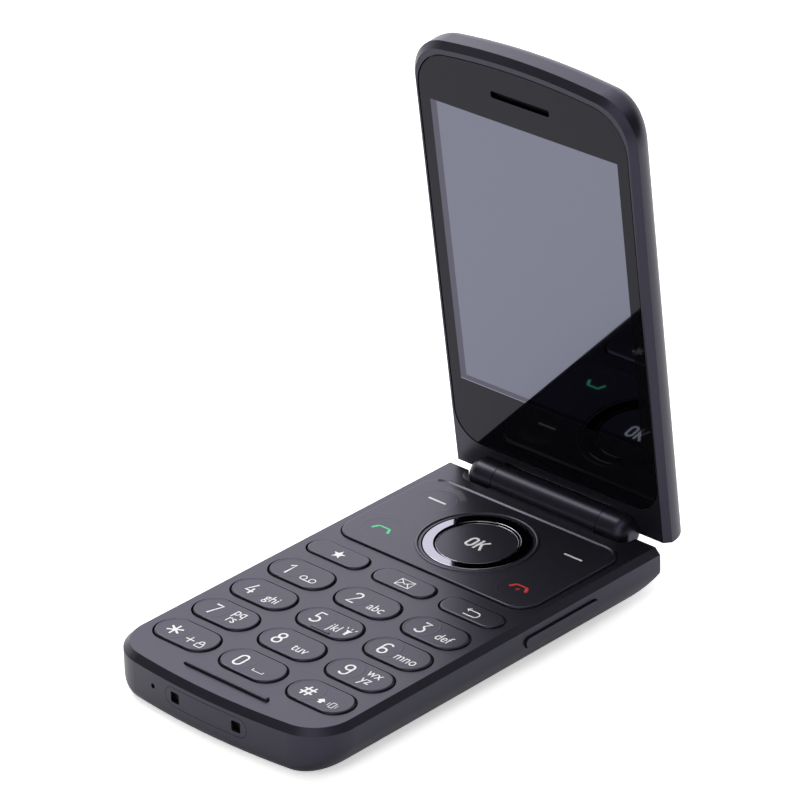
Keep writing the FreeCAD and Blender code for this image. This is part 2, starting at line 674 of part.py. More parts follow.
def side_slot(name, length, height, reach, x, from_axis, z, side):
    """Slot shape that faces the side of the base, long in Y."""
    body = slab(name, (stadium, (length, height)), reach)
    turn = Rotation(Vector(0, 0, 1), 90) * Rotation(Vector(1, 0, 0), 90)
    if side < 0:
        turn = Rotation(Vector(0, 0, 1), -90) * Rotation(Vector(1, 0, 0), 90)
    place = Vector(number(x), number(f"{HINGE_Y} - ({from_axis})"), number(z))
    body.Placement = Placement(place, turn)
    return body


def end_slot(name, shape, reach, x, from_axis, z):
    """Outline that faces the front end of the base and runs back from there."""
    body = slab(name, shape, reach)
    place = Vector(number(x), number(f"{HINGE_Y} - ({from_axis})"), number(z))
    body.Placement = Placement(place, Rotation(Vector(1, 0, 0), 90))
    return body


def tail_cutter(name, lift):
    """Space under a floor that curves up to the hinge like the underside, at a height above it."""
    radius = "(tail_length ^ 2 + tail_rise ^ 2) / (2 * tail_rise)"
    front = f"{HINGE_Y} - axis_back - tail_length"
    below = block_at(name + "_block", ("-body_width", "body_width"),
                     (front, f"{HINGE_Y} + base_length"), ("-base_height", f"tail_rise + {lift}"))
    curve = cross_rod(name + "_curve", radius, "-body_width", "body_width", front, f"{radius} + {lift}")
    return cut(name, below, [curve])


def room(name, height, bevel):
    """Space inside a half, bevelled round its floor."""
    space = slab(name, (bowed, ("body_width - 2 * wall", "hinge_block", f"{FAR_END} - wall",
                                "inner_corner", "front_corner - wall", "crown_radius - wall")), height)
    dress_top(space, space.Tip, "0", bevel)
    return space


def base_bottom_cover():
    outer = tub("bottom_outer", "axis_back - 2 * front_corner", SEAM, "belly_radius", "nose_radius")
    half_turned(outer)
    plain_room = half_turned(room("bottom_room", "base_height", "floor_bevel"), "floor_skin")
    hollow = cut("bottom_hollow", plain_room, [tail_cutter("tail_floor", "floor_skin")])
    bay = in_base(slab("battery_bay", (rectangle, (
        f"{BATTERY_WIDTH} + 2 * bay_gap", f"{BATTERY_LENGTH} + 2 * bay_gap", "battery_corner + bay_gap")),
        "base_height"), "0", BATTERY_MIDDLE, "-slip")
    seat = in_base(slab("cover_seat", (rectangle, (
        f"{BATTERY_WIDTH} + 2 * cover_border + 2 * seat_gap",
        f"{BATTERY_LENGTH} + 2 * cover_border + 2 * seat_gap", "cover_corner + seat_gap")),
        "cover_thickness + 2 * slip"), "0", BATTERY_MIDDLE, "-slip")
    rocker = side_slot("rocker_slot", "rocker_length + 2 * key_gap", "rocker_height + 2 * key_gap",
                       "2 * wall + slip", "body_width / 2 - 2 * wall", "rocker_centre", ROCKER_LEVEL, 1)
    rim_space = side_slot("rocker_rim_space", "rocker_length + 2 * flange_rim + 2 * key_gap",
                          "rocker_height + 2 * flange_rim + 2 * key_gap", "wall + slip",
                          "body_width / 2 - 2 * wall - slip", "rocker_centre", ROCKER_LEVEL, 1)
    socket = side_slot("socket_slot", "socket_width + 2 * socket_wall + 2 * seat_gap",
                       "socket_height + 2 * socket_wall + 2 * seat_gap", "socket_length + 4 * slip",
                       "socket_length + 3 * slip - body_width / 2", "socket_centre", SOCKET_LEVEL, -1)
    insert_shape = (stadium, ("insert_width + 2 * seat_gap", "insert_height + 2 * seat_gap"))
    insert = end_slot("insert_slot", insert_shape, "2 * wall", "0", f"{FAR_END} - insert_depth - slip",
                      INSERT_LEVEL)
    mic = at(rod("mic_bore", "mic_hole", "4 * wall"), "-mic_place", f"{HINGE_Y} - {FAR_END} - wall",
             INSERT_LEVEL, ((1, 0, 0), -90))
    cradle = cross_rod("barrel_cradle", "barrel_radius + seat_gap", "-barrel_length / 2 - seat_gap",
                       "barrel_length / 2 + seat_gap", HINGE_Y, "base_height")
    tools = [hollow, bay, seat, rocker, rim_space, socket, insert, mic, cradle]
    tools.append(tail_cutter("tail_space", "0"))
    tools.append(rear_trim("bottom_rear", "-base_height", "2 * base_height"))
    tools.extend(hinge_troughs("bottom_trough"))
    for row in (-1, 0, 1):
        slot = slab(f"sound_slot_{row + 2}", (stadium, ("sound_length", "sound_slot")), "2 * floor_skin")
        tools.append(in_base(slot, "0", f"speaker_centre + {row} * sound_pitch", "-slip"))
    shell = cut("bottom_shell", outer, tools)
    posts = []
    holes = []
    for side in (-1, 1):
        x = f"{side} * {BASE_SCREW_X}"
        post = rod(f"post_{side + 2}", "post_radius", f"{SEAM} - wall")
        posts.append(in_base(post, x, BASE_SCREW_Y, "wall"))
        hole = rod(f"screw_hole_{side + 2}", "screw_radius + fit_gap", "base_height")
        holes.append(in_base(hole, x, BASE_SCREW_Y, "-slip"))
        sink = rod(f"screw_sink_{side + 2}", "screw_head + 2 * fit_gap", "2 * screw_recess + 2 * slip")
        holes.append(in_base(sink, x, BASE_SCREW_Y, "-slip"))
    whole = gather("bottom_with_posts", [shell] + posts)
    return node(cut("bottom_cover", whole, holes), "base_bottom_cover")


def inner_stack():
    """Mat, dome sheet, board and battery under the keys."""
    mat_length = f"(first_row + 3 * {ROW_PITCH} + {KEY_DEPTH} / 2 + flange_rim - hinge_block - slip)"
    mat_middle = f"hinge_block + slip + {mat_length} / 2"
    mat = slab("mat", (rectangle, (NAV_WIDTH, mat_length, "nav_corner")), "mat_thickness")
    node(in_base(mat, "0", mat_middle, MAT_LOW), "keypad_mat")
    film = slab("film", (rectangle, (f"{NAV_WIDTH} - wall", mat_length, "nav_corner")), "sheet_thickness")
    domes = [in_base(film, "0", mat_middle, SHEET_LOW)]
    places = [(name, f"{column} * {COLUMN_PITCH}", from_axis) for name, column, from_axis, _ in keys()]
    for name, x, from_axis in places + [("ok", "0", "ok_centre")]:
        dome = doc.addObject("Part::Prism", "dome_" + name)
        dome.Polygon = DOME_SIDES
        bind(dome, "Circumradius", "function_depth / 2")
        bind(dome, "Height", "sheet_thickness + dome_height")
        domes.append(in_base(dome, x, from_axis, SHEET_LOW))
    node(gather("domes", domes), "dome_sheet")

    board_length = f"({mat_length} - cover_border)"
    board_shape = (rectangle, (BOARD_WIDTH, board_length, "board_corner"))
    board = in_base(slab("board", board_shape, "board_thickness"), "0", mat_middle, BOARD_LOW)
    can_shape = (rectangle, (f"{BATTERY_WIDTH} / 2", "can_length", "board_corner"))
    can = in_base(slab("shield_can", can_shape, "can_height"), f"-{BATTERY_WIDTH} / 4", CAN_MIDDLE,
                  f"{BOARD_LOW} - can_height")
    node(gather("board_with_can", [board, can]), "main_board")
    cell_shape = (rectangle, (BATTERY_WIDTH, BATTERY_LENGTH, "battery_corner"))
    battery = slab("cell", cell_shape, "battery_thickness", "battery_bevel")
    node(in_base(battery, "0", BATTERY_MIDDLE, BATTERY_LOW), "battery")
    cover_shape = (rectangle, (f"{BATTERY_WIDTH} + 2 * cover_border",
                               f"{BATTERY_LENGTH} + 2 * cover_border", "cover_corner"))
    node(in_base(slab("cover", cover_shape, "cover_thickness"), "0", BATTERY_MIDDLE), "battery_cover")

    speaker_shape = (rectangle, ("speaker_width", "speaker_length", "board_corner"))
    speaker = slab("loud", speaker_shape, "speaker_thickness")
    node(in_base(speaker, "0", "speaker_centre", "speaker_low"), "loudspeaker")
    motor = cross_rod("motor", "motor_radius", "wall", "wall + motor_length",
                      f"{HINGE_Y} - ({CAN_MIDDLE})", f"{BOARD_LOW} - motor_radius - slip")
    node(motor, "vibration_motor")


def base_details():
    inner_x = "body_width / 2 - 2 * wall"
    cap = side_slot("rocker_cap", "rocker_length", "rocker_height", "rocker_rise + 2 * wall",
                    inner_x, "rocker_centre", ROCKER_LEVEL, 1)
    rim = side_slot("rocker_rim", "rocker_length + 2 * flange_rim", "rocker_height + 2 * flange_rim",
                    "wall - rocker_play", inner_x, "rocker_centre", ROCKER_LEVEL, 1)
    rib = at(rod("rocker_rib", "rocker_pivot", "rocker_height"), inner_x, f"{HINGE_Y} - rocker_centre",
             f"{ROCKER_LEVEL} - rocker_height / 2")
    node(gather("rocker", [cap, rim, rib]), "volume_rocker")

    shell = side_slot("socket_outer", "socket_width + 2 * socket_wall", "socket_height + 2 * socket_wall",
                      "socket_length", "socket_length - body_width / 2 + 2 * slip", "socket_centre",
                      SOCKET_LEVEL, -1)
    mouth = side_slot("socket_mouth", "socket_width", "socket_height", "socket_length",
                      "socket_length - body_width / 2 - socket_wall", "socket_centre", SOCKET_LEVEL, -1)
    tongue = side_slot("socket_tongue", "socket_width * 3 / 4", "socket_height / 4", "socket_length - wall",
                       "socket_length - body_width / 2", "socket_centre", SOCKET_LEVEL, -1)
    node(gather("socket_whole", [cut("socket_open", shell, [mouth]), tongue]), "charging_socket")

    base_plan = (bowed, ("body_width", "axis_back", FAR_END, "front_corner", "front_corner",
                         "crown_radius"))
    plan = half_turned(slab("insert_plan", base_plan, "base_height"))
    bar = end_slot("insert_bar", (stadium, ("insert_width", "insert_height")), "insert_depth + wall",
                   "0", f"{FAR_END} - insert_depth", INSERT_LEVEL)
    holes = []
    contacts = []
    for side in (-1, 1):
        x = f"{side} * contact_pitch / 2"
        hole_shape = (rectangle, ("contact_hole", "contact_hole", "small_corner"))
        holes.append(end_slot(f"contact_hole_{side + 2}", hole_shape, "insert_depth + wall", x,
                              f"{FAR_END} - insert_depth - slip", INSERT_LEVEL))
        pin_size = "contact_hole - 2 * slip"
        pin_shape = (rectangle, (pin_size, pin_size, "small_corner"))
        contacts.append(end_slot(f"contact_pin_{side + 2}", pin_shape, "insert_depth - contact_sink", x,
                                 f"{FAR_END} - insert_depth", INSERT_LEVEL))
    node(cut("insert_with_holes", common("insert_flush", plan, bar), holes), "contact_insert")
    node(group("contact_pins", contacts), "charging_contacts")

    mic = at(rod("mic_can", "mic_radius", "wall"), "-mic_place",
             f"{HINGE_Y} - {FAR_END} + 2 * wall", INSERT_LEVEL, ((1, 0, 0), -90))
    node(mic, "microphone")
    screws = []
    for side in (-1, 1):
        head = rod(f"base_head_{side + 2}", "screw_head", "screw_recess")
        stem = rod(f"base_stem_{side + 2}", "screw_radius", f"{SEAM} - screw_recess - slip")
        for thing in (head, stem):
            in_base(thing, f"{side} * {BASE_SCREW_X}", BASE_SCREW_Y, "screw_recess")
        screws.append(gather(f"base_screw_{side + 2}", [head, stem]))
    node(group("screws_of_base", screws), "base_screws")


def hinge():
    z = "base_height"
    can = cross_rod("can", "cartridge_radius", "barrel_length / 2 - cartridge_length + slip",
                    "barrel_length / 2", HINGE_Y, z)
    well = cross_rod("can_well", "neck_radius + fit_gap", "barrel_length / 2 - neck_length - 2 * slip",
                     "barrel_length / 2 + slip", HINGE_Y, z)
    node(cut("can_bored", can, [well]), "hinge_cartridge")
    neck = cross_rod("shaft_neck", "neck_radius", "barrel_length / 2 - neck_length", KNUCKLE_START)
    nose = cross_rod("shaft_nose", "shaft_radius", KNUCKLE_START, f"{KNUCKLE_START} + shaft_length")
    node(gather("shaft", [neck, nose]), "hinge_shaft", lid=True)
    sleeve = cross_rod("sleeve", "cartridge_radius", f"-({KNUCKLE_START}) - shaft_length",
                       "-barrel_length / 2 + knuckle_length - slip")
    bore = cross_rod("sleeve_bore", "bush_bore", f"-({KNUCKLE_END})", "0")
    node(cut("sleeve_bored", sleeve, [bore]), "hinge_bush", lid=True)
    cable = cross_rod("cable_roll", "cable_radius", f"-({KNUCKLE_START}) - shaft_length",
                      "-barrel_length / 2 + knuckle_length - wall")
    node(cable, "display_cable", lid=True)


def lid_plan(inset, low):
    return (bowed, (f"body_width - 2 * ({inset})", low, f"{FAR_END} - ({inset})",
                    f"front_corner - ({inset})", f"front_corner - ({inset})", f"crown_radius - ({inset})"))


def lens_plan(grow):
    return (bowed, (f"{LENS_WIDTH} + 2 * ({grow})", f"lens_low - ({grow})", f"{LENS_HIGH} + ({grow})",
                    f"lens_low_corner + ({grow})", f"lens_high_corner + ({grow})", "crown_radius"))


def heel_trim(name):
    """Space below the flat lower end of the lid."""
    return block_at(name, ("-body_width", "body_width"), ("-base_length", "-lid_heel"),
                    ("-4 * lid_thickness", "lid_thickness"))


def barrel_space(name):
    return cross_rod(name, "barrel_radius + barrel_clearance", f"-({KNUCKLE_START})", KNUCKLE_START)


def panel_slab(name, grow, height):
    width = f"{WINDOW_WIDTH} + 2 * panel_border + 2 * ({grow})"
    length = f"{WINDOW_HIGH} - window_low + 2 * panel_border + 2 * ({grow})"
    return slab(name, (rectangle, (width, length, "panel_corner")), height)


def knuckles():
    """The two lid knuckles, each rounded at its outer end."""
    pair = []
    for side in (-1, 1):
        body = round_nosed(f"knuckle_{side + 2}", "barrel_radius", "knuckle_length", "knuckle_round")
        pair.append(at(body, f"{side} * ({KNUCKLE_START})", turn=((0, 1, 0), 90 * side)))
    return pair


def lid_front_cover():
    blank = doc.addObject("PartDesign::Body", "front_blank")
    plan = sketch_on(blank, "front_plan")
    draw, measures = lid_plan("0", "-lid_heel - 2 * front_corner")
    draw(plan, *measures)
    plate = pad(blank, plan, "seam_depth")
    dress_top(blank, plate, "seam_depth", "edge_chamfer")
    at(blank, z=LID_SEAM)
    trimmed = cut("front_trimmed", blank, [heel_trim("front_heel")])
    whole = gather("front_with_knuckles", [trimmed] + knuckles())
    recess = at(slab("lens_recess", lens_plan("lens_gap"), "lid_thickness"),
                z="-face_set - lens_sink - lens_thickness - slip")
    opening = at(panel_slab("panel_opening", "seat_gap", "2 * lid_thickness"), "0", WINDOW_MIDDLE,
                 "-2 * lid_thickness")
    ear = at(slab("ear_opening", (rectangle, ("ear_length + 2 * seat_gap", "ear_depth + 2 * seat_gap",
                                              "panel_corner + seat_gap")), "2 * lid_thickness"),
             "0", EAR, "-2 * lid_thickness")
    tools = [recess, opening, ear, barrel_space("front_barrel")]
    tools.append(cross_rod("shaft_bore", "shaft_radius + fit_gap", "0",
                           f"{KNUCKLE_START} + shaft_length + slip"))
    tools.append(cross_rod("bush_seat", "cartridge_radius + fit_gap",
                           f"-({KNUCKLE_START}) - shaft_length - slip", "0"))
    for side in (-1, 1):
        hole = rod(f"lid_hole_{side + 2}", "screw_radius + fit_gap", "seam_depth - edge_chamfer")
        tools.append(at(hole, f"{side} * {LID_SCREW_X}", "lid_screw_from_axis", LID_SEAM))
    return node(cut("front_cover", whole, tools), "lid_front_cover", lid=True)


def lid_back_cover():
    depth = "lid_thickness - seam_depth"
    outer = at(tub("back_outer", "-lid_heel - 2 * front_corner", depth, "lid_side_round", "lid_top_round"),
               z=LID_BACK)
    hollow = at(room("back_room", "lid_thickness", "lid_bevel"), z=f"{LID_BACK} + lid_skin")
    heel_y = "lid_heel_round - lid_heel"
    heel_z = f"{LID_BACK} + lid_heel_round"
    below = block_at("heel_block", ("-body_width", "body_width"), ("-base_length", heel_y),
                     ("-2 * lid_thickness - face_set", heel_z))
    curve = cross_rod("heel_curve", "lid_heel_round", "-body_width", "body_width", heel_y, heel_z)
    heel = cut("heel_space", below, [curve])
    pane_shape = (rectangle, ("back_pane_width + 2 * seat_gap", "back_pane_length + 2 * seat_gap",
                              "cover_corner + seat_gap"))
    pane = at(slab("pane_seat", pane_shape, "back_pane_thickness + 2 * slip"), "0", OUTER_PANE,
              f"{LID_BACK} - slip")
    camera = at(rod("camera_hole", "camera_radius + seat_gap", "lid_thickness"), "0", CAMERA,
                f"{LID_BACK} - slip")
    lamp = at(rod("lamp_hole", "lamp_radius + seat_gap", "lid_thickness"), "lamp_offset", CAMERA,
              f"{LID_BACK} - slip")
    screen = at(slab("screen_hole", (rectangle, ("outer_screen_width + 2 * seat_gap",
                                                 "outer_screen_length + 2 * seat_gap", "panel_corner")),
                     "lid_thickness"), "0", f"{OUTER_PANE} - outer_screen_drop", f"{LID_BACK} - slip")
    tools = [hollow, heel, heel_trim("back_heel"), pane, camera, lamp, screen, barrel_space("back_barrel")]
    for side in (-1, 1):
        x = f"{side} * {LID_SCREW_X}"
        place = f"{side} * ({KNUCKLE_START} + knuckle_length / 2)"
        half = "(knuckle_length / 2 + 2 * barrel_gap)"
        tools.append(cross_rod(f"back_knuckle_{side + 2}", "barrel_radius + seat_gap",
                               f"{place} - {half}", f"{place} + {half}"))
        hole = rod(f"back_hole_{side + 2}", "screw_radius + fit_gap", "lid_thickness")
        tools.append(at(hole, x, "lid_screw_from_axis", LID_BACK))
        sink = rod(f"back_sink_{side + 2}", "screw_head + 2 * fit_gap", "lid_heel_round")
        tools.append(at(sink, x, "lid_screw_from_axis", f"{LID_BACK} - slip"))
    return node(cut("back_cover", outer, tools), "lid_back_cover", lid=True)


def lid_inside():
    lens_z = "-face_set - lens_sink - lens_thickness"
    pane = at(slab("pane", lens_plan("0"), "lens_thickness"), z=lens_z)
    slot = at(slab("ear_slot", (rectangle, ("ear_length", "ear_height", "ear_corner")), "lid_thickness"),
              "0", EAR, f"{lens_z} - slip")
    node(cut("pane_with_slot", pane, [slot]), "lens_pane", lid=True)
    mesh = slab("mesh", (stadium, ("ear_length - 2 * seat_gap", "mesh_height")), "3 * slip")
    node(at(mesh, "0", EAR, f"{lens_z} - 4 * slip"), "earpiece_mesh", lid=True)
    panel_z = f"{PANEL_FACE} - panel_thickness"
    panel = at(panel_slab("panel", "0", "panel_thickness"), "0", WINDOW_MIDDLE, panel_z)
    node(panel, "display_panel", lid=True)
    tray = at(panel_slab("tray", "-seat_gap", "tray_thickness"), "0", WINDOW_MIDDLE,
              f"{panel_z} - slip - tray_thickness")
    node(tray, "display_tray", lid=True)
    board_z = f"{panel_z} - slip - tray_thickness - slip - lid_board_thickness"
    board = at(slab("lid_board", (rectangle, (BOARD_WIDTH, f"{WINDOW_HIGH} - window_low", "board_corner")),
                    "lid_board_thickness"), "0", WINDOW_MIDDLE, board_z)
    node(board, "lid_circuit_board", lid=True)
    speaker_shape = (rectangle, ("ear_length", "ear_depth", "panel_corner"))
    speaker = at(slab("speaker", speaker_shape, "panel_thickness"), "0", EAR,
                 f"{lens_z} - 5 * slip - panel_thickness")
    node(speaker, "earpiece", lid=True)
    outer = at(slab("outer_pane", (rectangle, ("back_pane_width", "back_pane_length", "cover_corner")),
                    "back_pane_thickness"), "0", OUTER_PANE, LID_BACK)
    camera_hole = at(rod("pane_camera_hole", "camera_radius + seat_gap", "lid_thickness"), "0", CAMERA,
                     f"{LID_BACK} - slip")
    lamp_hole = at(rod("pane_lamp_hole", "lamp_radius + seat_gap", "lid_thickness"), "lamp_offset", CAMERA,
                   f"{LID_BACK} - slip")
    node(cut("outer_pane_cut", outer, [camera_hole, lamp_hole]), "outer_window", lid=True)
    camera_depth = f"({board_z}) - slip - ({LID_BACK})"
    barrel = rod("camera_body", "camera_radius", camera_depth)
    node(at(barrel, "0", CAMERA, LID_BACK), "camera", lid=True)
    lamp = rod("lamp_body", "lamp_radius", camera_depth)
    node(at(lamp, "lamp_offset", CAMERA, LID_BACK), "lamp", lid=True)
    screen_shape = (rectangle, ("outer_screen_width", "outer_screen_length", "panel_corner"))
    outer_screen = slab("outer_screen", screen_shape, f"{camera_depth} - back_pane_thickness - 2 * slip")
    node(at(outer_screen, "0", f"{OUTER_PANE} - outer_screen_drop",
            f"{LID_BACK} + back_pane_thickness + 2 * slip"), "outer_display", lid=True)
    screws = []
    for side in (-1, 1):
        head = rod(f"lid_head_{side + 2}", "screw_head", "screw_radius")
        stem = rod(f"lid_stem_{side + 2}", "screw_radius",
                   "lid_thickness - lid_heel_round - edge_chamfer - slip")
        for thing in (head, stem):
            at(thing, f"{side} * {LID_SCREW_X}", "lid_screw_from_axis",
               f"{LID_BACK} + lid_heel_round - screw_radius - 2 * slip")
        screws.append(gather(f"lid_screw_{side + 2}", [head, stem]))
    node(group("screws_of_lid", screws), "lid_screws", lid=True)


base_top_cover()
keypad()
navigation()
bumper_strip()
base_bottom_cover()
inner_stack()
base_details()
hinge()
lid_front_cover()
lid_back_cover()
lid_inside()
doc.recompute()

for thing in doc.Objects:
    if "Invalid" in thing.State or "Error" in thing.State:
        raise RuntimeError(f"{thing.Label} failed: {thing.State}")
for label, thing in nodes.items():
    if thing.Shape.isNull() or not thing.Shape.isValid():
        raise RuntimeError(f"{label} has no valid shape")
for label, thing in nodes.items():
    thing.Shape.exportStep(f"parts/{label}.step")
print(f"{len(nodes)} pieces written")
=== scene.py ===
import json
import math

import bmesh
import bpy
from mathutils import Matrix, Vector


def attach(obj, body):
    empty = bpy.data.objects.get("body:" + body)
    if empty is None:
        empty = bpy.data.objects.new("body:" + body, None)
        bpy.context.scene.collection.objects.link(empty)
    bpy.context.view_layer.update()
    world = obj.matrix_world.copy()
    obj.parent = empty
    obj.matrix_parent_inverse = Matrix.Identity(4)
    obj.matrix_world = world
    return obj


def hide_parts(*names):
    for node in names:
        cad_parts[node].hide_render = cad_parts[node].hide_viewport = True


# Flip phone standing open with the keypad half flat on the table.
# The property groups, the materials and the studio are in metres. Everything else is in millimetres from
# the hinge axis: x across the phone, y towards the hinge and z up from the keypad face.

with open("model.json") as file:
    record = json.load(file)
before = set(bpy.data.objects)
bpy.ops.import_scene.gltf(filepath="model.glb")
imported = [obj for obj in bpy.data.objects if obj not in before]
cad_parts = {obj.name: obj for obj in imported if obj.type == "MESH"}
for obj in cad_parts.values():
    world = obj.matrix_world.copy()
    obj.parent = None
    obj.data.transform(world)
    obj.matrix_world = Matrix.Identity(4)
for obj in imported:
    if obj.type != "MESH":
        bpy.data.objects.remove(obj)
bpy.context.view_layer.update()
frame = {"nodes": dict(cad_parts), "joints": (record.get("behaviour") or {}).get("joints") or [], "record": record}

bl_info = {
    "name": "Flip phone dressing",
    "version": (1, 1, 0),
    "blender": (4, 5, 0),
    "location": "3D View > Sidebar > Phone",
    "description": "Key caps, legends, finishes and studio of an open flip phone",
    "category": "Object",
}

MM = 0.001
HINGE = next(joint for joint in frame["joints"] if joint["name"] == "lid_hinge")
AXIS = Vector(HINGE["pos_m"])
# Angle of the standing lid. Closed, it points forward at 180 degrees.
LID_TURN = math.radians(180 + HINGE["range_deg"][0])
# From millimetres at the hinge axis to metres in the frame
BASE_PLACE = Matrix.Translation(AXIS) @ Matrix.Scale(MM, 4)

# Middles of the keys, and where the caps stand in their windows
COLUMNS = (-16.57, 0.0, 16.57)
ROWS = (-50.3, -60.07, -69.84, -79.61)
FUNCTION_ROW = -40.7
NUMBER_KEYS = (("1", "2", "3"), ("4", "5", "6"), ("7", "8", "9"), ("star", "0", "hash"))
FUNCTION_KEYS = ("favourite", "message", "back")
CAP_SHIFT = (0.1, -0.05)

# Key caps, with the finger rest under a digit and its fine rim
KEY_FOOT = -1.5
CAP_ROUND = 0.42
REST_DEPTH = 0.06
REST_SLOPE = 0.2
RIM_RISE = 0.025
RIM_WIDTH = 0.24
RIM_INSET = 0.15

# Touch bar of the middle key: its length and depth, and its place from the middle of the key
BAR_SIZE = (4.6, 0.6)
BAR_PLACE = (0.4, -3.05)
BAR_ROOT = 0.3
BAR_RISE = 0.16
BAR_ROUND = 0.14

# Corner key plate, with the collar round the ring and the ridge along its rear edge
PLATE_WIDTH = 47.6
PLATE_DEPTH = 28.4
PLATE_CORNER = 4.5
PLATE_MIDDLE = -20.78
PLATE_TOP = 0.4
PLATE_ROUND = 0.36
RING_MIDDLE = -21.1
RING_OPENING = 10.37
COLLAR_RADIUS = 11.2
COLLAR_WIDTH = 0.75
COLLAR_RISE = 0.2
LIP_INSET = 0.56
LIP_WIDTH = 1.04
LIP_HEIGHT = 0.5
LIP_SUNK = 0.06

# Shallow rests under the corner signs, each with its place and the rise of its rim
CORNER_RESTS = ((-16.6, -14.4, 0.02), (16.9, -14.0, 0.012), (-16.9, -28.6, 0.02), (17.2, -28.6, 0.012))
CORNER_REST_RADIUS = 4.15
CORNER_REST_DEPTH = 0.05
CORNER_REST_SLOPE = 0.3

# Radii of the hairlines behind the left corner sign, and their width
FINE_ARCS = (4.6, 4.95, 5.3, 5.65)
FINE_LINE = 0.06

# Ring and OK button
RING_ROUND = 0.16
OK_TOP = 0.12
OK_ROUND = 0.2
OK_RIM = 0.12
OK_RIM_SUNK = 0.05

# Rubber strip that the lid closes on: its length and depth, its place and its heights
STRIP_SIZE = (20.4, 1.2)
STRIP_PLACE = (0.3, -86.5)
STRIP_FOOT = -0.5
STRIP_TOP = 0.52
STRIP_ROUND = 0.38

# Digits, letters and signs, placed from the middle of their key
CAPITAL_SHARE = 0.73
DIGIT_DRAWN = 3.9
DIGIT_LINE = 0.44
DIGIT_PLACE = -3.05
DIGIT_NUDGE = 0.28
LETTERS = {"2": "abc", "3": "def", "4": "ghi", "5": "jkl", "6": "mno", "8": "tuv"}
LETTER_PLACE = (2.9, -1.9)
LETTER_PLACES = {"5": (2.0, -1.9), "8": (2.75, -1.7)}
LETTER_PAIRS = {"7": ("pq", "rs"), "9": ("wx", "yz")}
PAIR_PLACES = ((2.5, 0.5), (2.5, -1.95))
LETTER_SQUEEZE = 0.85
TORCH_PLACE = (4.85, -0.6)
VOICEMAIL_PLACE = (2.6, -1.1)
PLUS_PLACE = (1.9, -1.1)
LOCK_PLACE = (4.5, -1.6)
SPACE_PLACE = (2.4, -1.3)
SHIFT_PLACE = (1.3, -1.2)
BUZZ_PLACE = (3.9, -1.2)
FUNCTION_PLACES = ((0.4, -0.35), (0.5, -0.35), (0.5, -0.35))

# Signs on the plate and the button, placed from the hinge axis
DASH_PLACES = {"left": (-16.5, -14.1), "right": (17.1, -13.9)}
CALL_PLACE = (-16.8, -28.7)
END_PLACE = (17.3, -28.6)
OK_PLACE = (0, -21.2)

# Window of the inner pane, in the plane of the lid: its outline; where the display behind it begins, with painted
# shade in the margin before it along the window's left side and foot; and the width of a painted highlight line
# along the foot
WINDOW_HALF = 22.4
WINDOW_FOOT = 18.9
WINDOW_HEAD = 78.55
UNSHADED_LEFT = -20.9
UNSHADED_FOOT = 20.1
PAINTED_HIGHLIGHT_WIDTH = 0.14

# Dark cards round the phone: name, middle, turn in degrees and size
CARDS = (("top_flag", (-1.05, -0.65, 1.2), (0, 0, 0), (1.9, 1.4)),
         ("front_flag", (-1.25, -1.5, 0.75), (90, 0, 140), (2.4, 1.1)),
         ("side_flag", (1.3, 0.9, 1.1), (90, 0, 90), (4.6, 2.2)))

# Lamps: middle, size and colour
SOFT_LAMP = ((-0.93, 0.96, 0.72), 1.6, (1.0, 0.96, 1.08))
SMALL_LAMP = ((-0.62, 0.035, 0.79), 0.42, (1.02, 1.04, 0.92))
FLOOR_DROP = 0.0001


class PhoneFinish(bpy.types.PropertyGroup):
    housing: bpy.props.FloatVectorProperty(
        name="Housing", description="Colour of the satin housing", subtype="COLOR",
        size=3, min=0, max=1, default=(0.0085, 0.0083, 0.0115))
    keys: bpy.props.FloatVectorProperty(
        name="Keys", description="Colour of the key tops", subtype="COLOR",
        size=3, min=0, max=1, default=(0.0095, 0.0092, 0.0130))
    legend: bpy.props.FloatVectorProperty(
        name="Legends", description="Colour of the silvery printing", subtype="COLOR",
        size=3, min=0, max=1, default=(0.78, 0.78, 0.80))
    call: bpy.props.FloatVectorProperty(
        name="Call sign", description="Colour of the sign on the call key", subtype="COLOR",
        size=3, min=0, max=1, default=(0.08, 0.62, 0.28))
    end: bpy.props.FloatVectorProperty(
        name="End sign", description="Colour of the sign on the end key", subtype="COLOR",
        size=3, min=0, max=1, default=(0.62, 0.03, 0.03))
    grain: bpy.props.FloatProperty(
        name="Grain", description="Size of the fine grain in the satin plastic", unit="LENGTH",
        min=0.00005, max=0.001, default=0.00018)


